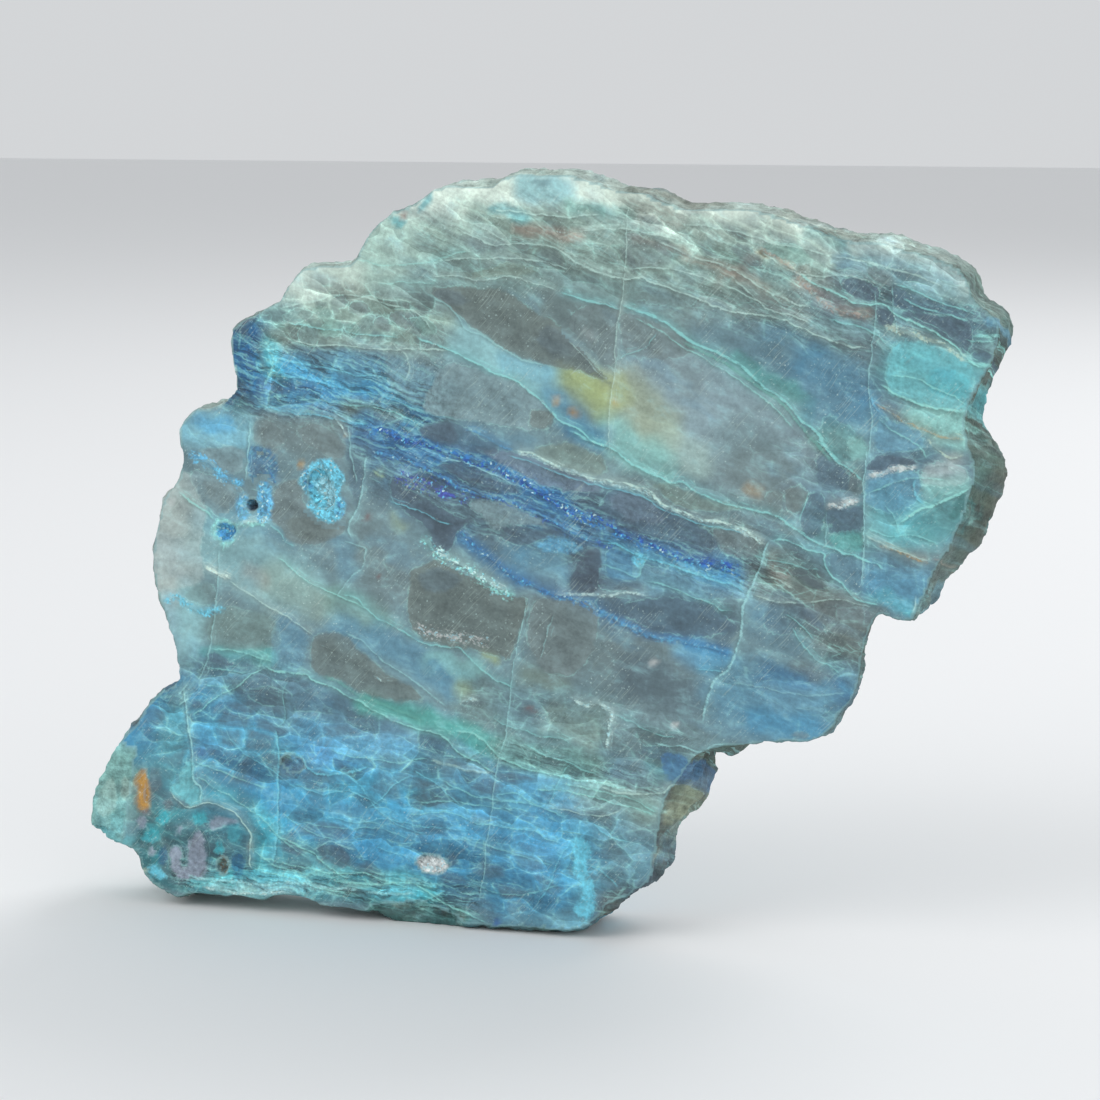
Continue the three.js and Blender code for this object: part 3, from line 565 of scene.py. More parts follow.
# Panes with a crisp border, drawn in this order
LENSES: tuple[Lens, ...] = tuple(Lens(*row) for row in (
    # Upper middle
    (M.SMOKE, (-12.3, 81, -8, 81.5, -3, 81.2, 1, 79, 4.5, 77, 8, 73.5, 11, 70, 7.5, 71.2, 3, 71.8,
        -1, 73, -5, 75.3, -8.5, 78), 0.85),
    (M.DARK_SLATE, (3, 77, 6, 75.6, 9.6, 71, 6, 72, 2, 74.6), 0.3, 0.0),
    (M.DARK_SLATE, (-12, 80.8, -9.4, 81.2, -7, 80, -9, 79), 0.35, 0.0),
    (M.GREY, (5.4, 77.6, 9, 79.8, 12.6, 78.8, 12, 76, 11.6, 71.6, 8.6, 74), 0.6, 0.45),
    (M.GREY, (13, 78.8, 17, 77.6, 22, 74.4, 18, 73, 13.4, 73.6, 12.4, 76), 0.75, 0.4),
    (M.PALE_GREY, (-13, 66.5, -11.5, 70, -9, 72, -4, 70.6, 0.5, 69, 3.8, 66, 2.5, 63.8, -4, 64.5,
        -11, 65), 0.85),
    (M.SMOKE, (1.2, 66.4, 3.6, 66.4, 4.2, 64.8, 2.6, 63.9, 0.6, 64.6), 0.7, 0.4),
    (M.GREY, (-10.5, 88.6, -4, 87.4, 2, 86.8, -2, 86, -8, 86.4), 0.3, 0.45),
    (M.GREY, (13.2, 88.4, 18, 86.6, 18.4, 84.6, 13.4, 84.4), 0.55, 0.4),
    (M.TEAL_GREY, (14, 83, 22, 81, 20, 79.4, 14, 80.4), 0.5, 0.4),
    (M.OLIVE, (-7.5, 82.8, -2, 84.4, 2, 83.6, -1.6, 82.6), 0.35, 0.4),
    # Upper left
    (M.GREY, (-25.6, 79, -24, 80, -22.6, 79.4, -23.6, 78.4), 0.6, 0.9),
    (M.GREY, (-22.8, 78.4, -21.6, 79.6, -20.2, 79, -20, 77.8, -21.8, 77.6), 0.6, 0.9),
    (M.TEAL_GREY, (-21.6, 76.6, -20.6, 77.7, -19.4, 77.4, -19.4, 76.2, -20.6, 75.8), 0.75, 0.9),
    (M.GREY, (-19.5, 76.8, -18.4, 77.5, -17, 76.4, -17.6, 75.4, -19, 75.8), 0.75, 0.9),
    (M.GREY, (-17.6, 77.6, -16.4, 78.2, -15, 76.8, -15.2, 75.9, -16.6, 76.4), 0.75, 0.9),
    (M.TEAL_GREY, (-29.8, 75.4, -28.4, 76.1, -26.8, 75.4, -27, 73.8, -28.8, 73.7), 0.7, 0.9),
    (M.GREEN_GREY, (-26.6, 76, -25.2, 77, -23.6, 76.3, -24, 75, -25.8, 74.9), 0.6, 0.9),
    (M.GREEN_GREY, (-23.9, 76, -22.6, 76.8, -21.5, 76, -22.2, 75), 0.6, 0.9),
    (M.TEAL_GREY, (-31.6, 77.4, -29.8, 78.4, -27.8, 77.8, -28.6, 76.6, -30.6, 76.4), 0.5, 0.9),
    (M.GREEN_GREY, (-27.8, 78, -26.4, 78.8, -25, 78, -26, 77), 0.5, 0.9),
    (M.GREEN_GREY, (-14.6, 77, -12.8, 77.6, -11.2, 76, -12.6, 75.2), 0.5, 0.7),
    (M.PALE_GREY, (-17.4, 74.2, -12, 72.6, -13, 66.4, -17, 68.6, -18, 71), 0.35, 0.35),
    # Left lobe
    (M.MILKY, (-49.4, 54, -46.6, 57, -43.6, 56.2, -42.4, 52, -43.4, 47, -42.8, 43.4, -46, 41.8,
        -49, 43), 0.45, 0.3),
    (M.PALE_GREY, (-43.2, 59.8, -41, 60.3, -37.3, 60.3, -36.7, 58.8, -37.5, 57.3, -40, 57.2, -42, 58.5),
        0.8, 0.4),
    (M.PALE_GREY, (-44.6, 57, -41, 56.6, -37.4, 54.8, -38, 51.4, -40, 51.3, -43, 53), 0.75, 0.6),
    (M.GREY, (-43, 56, -40, 55.6, -38.4, 54, -39.6, 52.4, -42, 53.6), 0.5, 0.0),
    (M.AZURE, (-36.5, 60.6, -33.4, 60.6, -32.6, 57.4, -34.6, 55.6, -36.4, 56.6), 0.6, 0.2, 0.5),
    (M.SLATE, (-36.2, 59, -34.4, 58.8, -34.6, 57, -36, 57), 0.5, 0.0),
    (M.GREY, (-35.4, 64, -32.4, 63.6, -31.6, 61.4, -33.6, 60.4, -35.6, 61.4), 0.6, 0.2),
    (M.GREY, (-30, 63.4, -25.6, 63.2, -23.4, 61, -24, 59.4, -28, 60.6), 0.7, 0.25),
    (M.GREY, (-33, 55, -31.5, 56.2, -29.5, 56.3, -28.5, 52.8, -24, 52, -23.7, 50.5, -24.5, 49.5,
        -27, 48.4, -29.3, 48.1, -31, 48.6, -32.5, 50.2, -33.8, 51.5, -34.2, 53.5), 0.9, 0.3),
    (M.SMOKE, (-31.4, 51, -28, 52, -24.4, 51.2, -25.4, 49.6, -28.6, 48.8, -30.8, 49.6), 0.5, 0.0),
    (M.LAKE, (-28.4, 58.2, -26.6, 59.4, -24.8, 59, -23.6, 57, -24.2, 55, -23.6, 53, -25, 51.2,
        -26.8, 51.6, -28.4, 53.2, -28.2, 54.6, -29.6, 55.8, -29.4, 57.4), 0.8, 0.0, 1.0),
    (M.CHALK, (-27.6, 57.2, -26.2, 57.4, -25, 56, -24.8, 53.8, -26, 53, -26.6, 54.6, -27.8, 55.4),
        0.35, 0.0, 1.0),
    (M.LIGHT_BLUE, (-35.4, 51, -35.6, 54, -34.8, 56.2, -33.2, 55.4, -33.2, 52.6, -33.8, 50.8), 0.75,
        0.0, 0.95),
    (M.LIGHT_BLUE, (-38.4, 51.6, -38.2, 53.8, -36.8, 54.4, -36.4, 51.8, -37.4, 50.8), 0.55, 0.0, 0.95),
    (M.NIGHT, (-37, 53, -36.1, 53.8, -35.2, 53, -36.1, 52.2), 0.95, 0.0),
    (M.MINT, (-41.8, 49.6, -41, 51, -39.4, 51.2, -38, 50, -38.6, 48.4, -39.8, 47.6, -41.2, 48.4),
        0.9, 0.0, 0.35),
    (M.COBALT, (-41.3, 49.6, -40.4, 50.7, -38.8, 50.4, -38.2, 49.4, -39.2, 48.3, -40.7, 48.3), 0.85,
        0.0, 0.8),
    (M.TEAL_GREY, (-45.4, 40.8, -44, 42.3, -41.5, 42.6, -41.3, 40.2, -43.5, 39.9), 0.5),
    (M.SLATE, (-42.4, 33.7, -41, 33.5, -38.7, 31.9, -42.3, 32.2), 0.8, 0.3),
    (M.TEAL_GREY, (-42, 38.4, -38, 39.6, -33.4, 38.4, -33, 34.6, -41.8, 34.4), 0.6, 0.3),
    (M.BLUE_HAZE, (-32.7, 39, -30.5, 38, -28.8, 37, -28.8, 34.5, -29.6, 32, -31, 31.3, -34, 32), 0.35,
        0.2),
    (M.SMOKE, (-28, 35.5, -27.3, 36.8, -25.5, 37.2, -24, 36.8, -21, 34.5, -18, 32, -13, 29.2, -15, 28.4,
        -20, 29, -24, 30.6, -28, 31.8), 0.75, 0.35),
    (M.SLATE, (-23.2, 60.6, -20.8, 58, -21.8, 54, -22.4, 52.6, -22.9, 56), 0.6, 0.2),
    # Middle
    (M.HEATHER, (-2, 61.2, 3, 60, 9, 58, 10, 56.3, 5, 56.5, 0, 58, -4, 60, -6, 61.4), 0.8, 0.45),
    (M.SLATE, (-13.8, 63.3, -12, 64.6, -8.6, 64.4, -6, 63, -3, 61.4, -4.4, 60.4, -8, 61, -12, 62), 0.6,
        0.45),
    (M.DARK_SLATE, (-13.6, 63.4, -12, 64.4, -9.6, 64.2, -8.6, 63, -8.8, 61.8, -12, 62.4), 0.75, 0.1),
    (M.DARK_SLATE, (-11, 59, -8, 59.6, -2, 57, 0, 56.5, -2, 55.7, -6, 56.6, -9.5, 58), 0.7, 0.45),
    (M.PALE_GREY, (-6.8, 55, -3, 54.8, -0.5, 54, 2.5, 52.5, 3.5, 51.7, -1, 52, -3.5, 51.3, -5.5, 52.8,
        -7, 54), 0.75),
    (M.DARK_SLATE, (-3.3, 51.3, -1, 52, 1.5, 51.6, 5, 51.1, 3, 50.2, 0, 49.4, -2, 49.8), 0.7, 0.45),
    (M.DARK_SLATE, (-17.5, 57, -15, 56, -9, 53, -7, 52.5, -8.5, 50.5, -9, 49, -10.5, 47.5, -12.3, 48.8,
        -12.5, 50.5, -14.5, 52.3, -17, 54.3), 0.85, 0.45),
    (M.NIGHT, (-14.4, 54, -9.4, 52, -9.6, 49.6, -11.6, 49.4, -12.2, 51.4), 0.3, 0.0),
    (M.SMOKE, (-15, 44, -14.5, 45.5, -13, 46.3, -11, 47, -6.5, 45, -2, 43, 0.3, 42.6, -0.5, 38.5,
        -1.8, 34.9, -4, 35.2, -11.5, 36.2, -13.5, 37, -15, 38.7, -15.3, 41), 0.85),
    (M.SLATE, (-14, 44.6, -11, 46.2, -8, 44.6, -11.6, 42.6), 0.35, 0.0),
    (M.NIGHT, (6, 44, 6.3, 46, 7.5, 48, 9, 49.3, 10.2, 49.2, 10.2, 47, 9.5, 43.6), 0.75, 0.1),
    (M.AZURE, (10.6, 49, 13, 49.6, 15.4, 48.2, 15, 45.8, 11, 45.7), 0.35),
    (M.LIGHT_BLUE, (1.4, 49.8, 3, 50.5, 6, 50.4, 8, 49.4, 5.4, 48.5, 2.6, 48.8), 0.35, 0.1, 0.6),
    (M.SKY, (14, 48.6, 15, 49.1, 16, 48.6, 15.4, 47.6, 14.6, 47), 0.5, 0.1, 0.6),
    (M.DARK_SLATE, (9.7, 45.8, 12, 45.8, 15.7, 45, 13, 44.2, 10, 44.2), 0.55),
    (M.SLATE, (9.5, 43, 13.6, 43, 12.6, 41.4, 9.8, 41.6)),
    (M.SLATE, (10, 54.6, 12, 57, 17, 55.4, 23, 52.6, 25, 50, 18, 50.8, 12, 53), 0.75, 0.45),
    (M.HEATHER, (11, 55, 13, 56.6, 17, 55, 18, 53, 14, 53), 0.5, 0.0),
    (M.SLATE, (12.5, 41.5, 16, 43.5, 20, 43.7, 24, 42.8, 26, 41.5, 27, 40, 22, 39, 17, 39.5), 0.65),
    (M.GREY, (1.2, 42, 5, 43, 9.4, 41.8, 8.8, 36, 6, 33.2, 2.2, 34, 0.6, 38), 0.85, 0.45),
    (M.OLIVE, (1, 60.6, 4, 62.4, 9, 61.4, 11, 59, 7, 58.9), 0.45, 0.45),
    (M.OLIVE, (16, 58, 20, 57.5, 24, 56, 28, 55, 24, 54.6, 20, 55.3), 0.4, 0.45),
    (M.GREY, (24, 52.6, 29, 51.6, 30, 49.4, 26, 49.2), 0.55),
    (M.BLUE_GREY, (15.4, 47.6, 22, 46.2, 27, 44.6, 24, 43.6, 16, 45.4), 0.5, 0.45),
    # Right
    (M.BLUE_GREY, (36, 73.8, 42.8, 73.6, 42.8, 69, 39, 68, 35, 70.6), 0.4, 0.0),
    (M.DEEP_TEAL, (38.2, 67, 40, 66, 43, 63.6, 42.8, 61.4, 40.6, 61, 37.4, 63.6), 0.45),
    (M.MINT_HAZE, (41, 64.6, 43, 63.4, 42.8, 61.6, 40.8, 61.8), 0.5, 0.0),
    (M.TURQUOISE, (45.7, 75.4, 48, 76.2, 51, 75.6, 53, 74.6, 55.1, 73.5, 55.5, 71.5, 54.9, 68.5,
        54.3, 67.7, 51, 68.3, 48, 69, 45.5, 70.2)),
    (M.LAGOON, (51, 73, 54.6, 72.4, 54.8, 69.6, 52, 69.6, 50.4, 71), 0.3, 0.0),
    (M.MINT_HAZE, (50.6, 66.6, 52, 67.4, 54, 67.2, 54.6, 66, 53, 65.2, 51, 65.6), 0.7, 0.7),
    (M.BLUE_HAZE, (44, 66, 46, 66.6, 49.6, 65, 49, 63, 44.4, 62.8)),
    (M.DARK_SLATE, (43.2, 61.6, 45, 62.3, 47.4, 62, 49, 61.4, 46.6, 60.7, 43, 59.8), 0.85),
    (M.BLUE_HAZE, (43.2, 59.4, 46, 60, 49.4, 60.6, 49.4, 57, 46.6, 55.4, 43.4, 56), 0.6, 0.6),
    (M.MILKY, (49.6, 60.8, 52, 61.8, 55, 61, 54.6, 59, 51.6, 58.6, 49.8, 59.2), 0.3, 0.6),
    (M.DEEP_TEAL, (48, 53.4, 50, 55.4, 52.4, 56.8, 55, 58, 55, 54.6, 52, 52, 49, 52), 0.55, 0.4),
    (M.CHIP_GREEN, (53, 54.6, 54, 57.4, 55.2, 58, 55, 55.6), 0.6, 0.2),
    (M.SLATE, (37.2, 62.6, 40, 60.6, 42.4, 58.6, 39, 57.4, 37, 58.2), 0.6, 0.4),
    (M.SMOKE, (41, 60.4, 42.6, 60.4, 42.6, 57.4, 41, 57.8), 0.5, 0.4),
    (M.SLATE, (38.4, 55.2, 42.6, 55.8, 42.6, 52.8, 38.4, 52.4), 0.75),
    (M.GREEN, (38.4, 52.4, 42.6, 52.8, 42.7, 50.4, 39.4, 50.8), 0.4, 0.4),
    (M.SLATE, (36, 57.4, 37.8, 57, 38, 54.4, 37.2, 52.2, 35.3, 51.8, 35.1, 54), 0.7, 0.6),
    (M.SMOKE, (33.2, 57.6, 35, 58.2, 36, 57, 35, 55, 33.4, 55.2), 0.55, 0.6),
    (M.SMOKE, (30.4, 57, 32.4, 57.4, 33.2, 55.6, 31.6, 54.8), 0.4),
    (M.BLUE_GREY, (38.2, 50, 42.6, 49.4, 42.6, 45.4, 40.4, 46.2, 38.6, 48)),
    (M.BLUE_HAZE, (43.2, 49.6, 46.6, 48.6, 50, 48.4, 49.6, 44, 46, 43.6, 43.4, 46), 0.4),
    (M.SMOKE, (37, 45.4, 41, 45.6, 43, 44, 42.6, 39.6, 39, 40.4, 36.8, 42.8), 0.5, 0.4),
    (M.SLATE, (31.6, 45, 34.4, 44.6, 36, 42.4, 34, 39.8, 30.8, 40.6), 0.45),
    (M.GREY, (34.2, 27.6, 36, 27.8, 36.2, 26.8, 34.4, 26.8), 0.6, 0.3),
    (M.GREEN_GREY, (30, 87.4, 33.6, 87.4, 36, 85.4, 34, 84.8, 31.4, 85.8)),
    (M.BLUE_GREY, (38.6, 86.4, 41, 86.2, 41, 84.4, 38.8, 84.6), 0.5, 0.3),
    (M.GREY, (42.4, 84.6, 45.4, 84.6, 46, 83, 43.6, 83), 0.6, 0.4),
    (M.TEAL_GREY, (50.6, 83, 53, 83.2, 55.6, 81.4, 56, 80.4, 52, 81)),
    (M.DARK_SLATE, (39.4, 82.6, 41.4, 83.4, 44.2, 82.4, 44, 80.6, 41.6, 80.9), 0.75, 0.6),
    (M.BROWN, (38.8, 80.4, 41.4, 80.3, 43.8, 79.6, 43.4, 78.4, 40, 78.6), 0.4, 0.3),
    (M.DARK_SLATE, (43.9, 79.9, 46, 79.8, 46, 77.8, 44, 78), 0.65, 0.6),
    (M.SLATE, (46.2, 82.4, 49, 81.6, 52, 80.6, 56, 79.8, 55.4, 79, 52, 79.2, 46.2, 80.2), 0.65, 0.6),
    (M.DARK_SLATE, (46.6, 79.7, 49.6, 79.4, 52.6, 79, 55.2, 78.6, 55.2, 74.8, 53, 76, 50, 77.6,
        47.6, 78.8), 0.75, 0.6),
    (M.BLUE_HAZE, (57, 79.2, 59.4, 79.2, 59.6, 78.2, 57, 78), 0.7, 0.4),
    (M.SLATE, (55.6, 75.2, 57.6, 75, 57.4, 73.6, 55.6, 73.8), 0.7, 0.6),
    # Lower left point and its nodule
    (M.PALE_MINT, (-59.4, 11.6, -58, 15, -56.6, 16, -55.8, 13.6, -57, 11), 0.35),
    (M.TURQUOISE, (-57, 10.6, -55.4, 12.2, -54.6, 10, -55.6, 8.2), 0.4),
    (M.PALE_MINT, (-55.4, 13.4, -54.8, 16.4, -53.6, 15.6, -54, 13.4), 0.5, 0.3),
    (M.GOLD, (-52.6, 12, -52.5, 16.4, -51.3, 16.4, -51.2, 12.2), 0.85, 0.0),
    (M.MAUVE, (-48.5, 6, -48.2, 7.4, -47.4, 7.6, -46.6, 6.8, -46.8, 5.2, -46.2, 4.6, -45.8, 5.6,
        -45.8, 7.4, -45, 9, -44.2, 9.8, -43.3, 8.8, -43.4, 6.4, -43.2, 4.8, -44.2, 3.2, -45, 3.4, -46, 2.9,
        -47.2, 3.1, -48.2, 4.2), 0.92, 0.35),
    (M.MAUVE, (-53, 9.8, -52.6, 11, -51.8, 10.8, -51.7, 9.6, -52.4, 9.2), 0.75, 0.2),
    (M.MAUVE, (-51.6, 6.4, -51, 7.2, -50.5, 6.8, -51, 6.1), 0.75, 0.2),
    (M.MAUVE, (-42.8, 10.2, -41.8, 11.8, -40, 11.9, -38.8, 11.4, -40.6, 10.9, -41.6, 10.2), 0.7, 0.2),
    (M.MAUVE, (-47.6, 9, -47.2, 10.2, -46.4, 9.9, -46.6, 9), 0.7, 0.2),
    (M.UMBER, (-51.2, 15, -51, 17.4, -49.6, 17.6, -49.2, 15.8, -50, 14.8), 0.4, 0.1),
    (M.UMBER, (-52.7, 11.4, -51.6, 12.4, -50.6, 11.8, -51.4, 11.2), 0.7, 0.1),
    (M.UMBER, (-49.4, 13.2, -48.4, 14, -47.6, 12.8, -48.6, 12.2), 0.6, 0.1),
    (M.LAGOON, (-40.4, 9, -40.2, 10.6, -38.8, 10.8, -38.2, 9.2, -39.2, 8.2), 0.35, 0.1),
    (M.LAGOON, (-52.6, 7.8, -52, 9, -50.4, 9.6, -49.8, 8.4, -51, 7.6), 0.75, 0.2),
    (M.LAGOON, (-45.2, 10.8, -44.4, 12.2, -43, 12, -43.2, 10.6), 0.7, 0.2),
    (M.LAGOON, (-50.4, 10.4, -49.6, 12.2, -48.2, 11.8, -48.4, 10.4), 0.75, 0.2),
    (M.LAGOON, (-42.2, 7, -41.6, 8.6, -40.8, 7.8, -41, 6.8), 0.65, 0.2),
    (M.INK_TEAL, (-39.6, 4.2, -39.8, 6.4, -38.4, 7.2, -37.8, 5, -38.6, 3.6), 0.6, 0.2),
    (M.INK_TEAL, (-50.4, 5.4, -49.8, 7.4, -48.9, 7, -49.2, 4.8), 0.6, 0.1),
    (M.TURQUOISE, (-48.2, 15.2, -46.8, 16.5, -46.3, 18.5, -44.9, 18.7, -44.8, 16.5, -43.8, 15.3,
        -43.8, 13.7, -45.2, 13.1, -46.6, 13.8), 0.75, 0.4),
    (M.SKY, (-51.5, 4.2, -50.6, 5, -49.3, 3.8, -49, 2.8, -51, 3), 0.8, 0.2, 0.4),
    (M.BROWN, (-41.8, 5.2, -41.2, 6.4, -40.2, 5.8, -40.4, 4.2, -41.4, 4.2), 0.8, 0.3, 0.4),
    # Lower middle
    (M.SLATE, (-33.5, 8.5, -31.5, 9, -29.3, 8, -31, 7.4), 0.7, 0.4),
    (M.DARK_SLATE, (-28.3, 8.3, -25.8, 9.2, -23.5, 8.6, -23, 7, -24.2, 6.2, -26, 6.8), 0.75, 0.4),
    (M.SLATE, (-45.2, 26.4, -44.2, 27.2, -43.2, 26.6, -44.2, 25.8), 0.7, 0.3),
    (M.SLATE, (-10.6, 8.4, -9.4, 9.4, -8.6, 8.4, -9.6, 7.6), 0.6, 0.3),
    (M.SLATE, (-7, 6.8, -5, 8.4, -2.6, 7.8, -3.2, 6.2), 0.55, 0.3),
    (M.AZURE, (-32.6, 19.4, -31, 20.8, -29.4, 19.8, -30.6, 18.2), 0.4, 0.1, 0.4),
    (M.PEARL, (-14.4, 7.6, -13.4, 8.6, -11.4, 8.7, -10.2, 7.8, -11, 6.6, -13.4, 6.5), 0.9, 0.0, 0.55),
    (M.SKY, (6.5, 12.3, 8, 12.4, 8.9, 11.5, 8.9, 10.3, 8.4, 9.8, 8.5, 7.6, 8.1, 7, 9, 6.9, 9.3, 5.2,
        9.2, 3.2, 8.6, 2.2, 7.2, 2.2, 6.6, 3.2, 7.6, 4.7, 7.4, 6.5, 6.6, 8, 6.6, 10, 5.9, 11.3), 0.7, 0.0,
        0.15),
    (M.TEAL_GREY, (5.8, 30, 10.6, 29, 10.8, 25, 5, 25.6, 3, 28), 0.4, 0.3),
    (M.SLATE, (15, 24.2, 18, 25, 19.6, 24, 17, 23), 0.5, 0.4),
    (M.DEEP_BLUE, (18, 24, 21, 24, 21.6, 22, 20, 20.2, 18.4, 21), 0.5, 0.2),
))

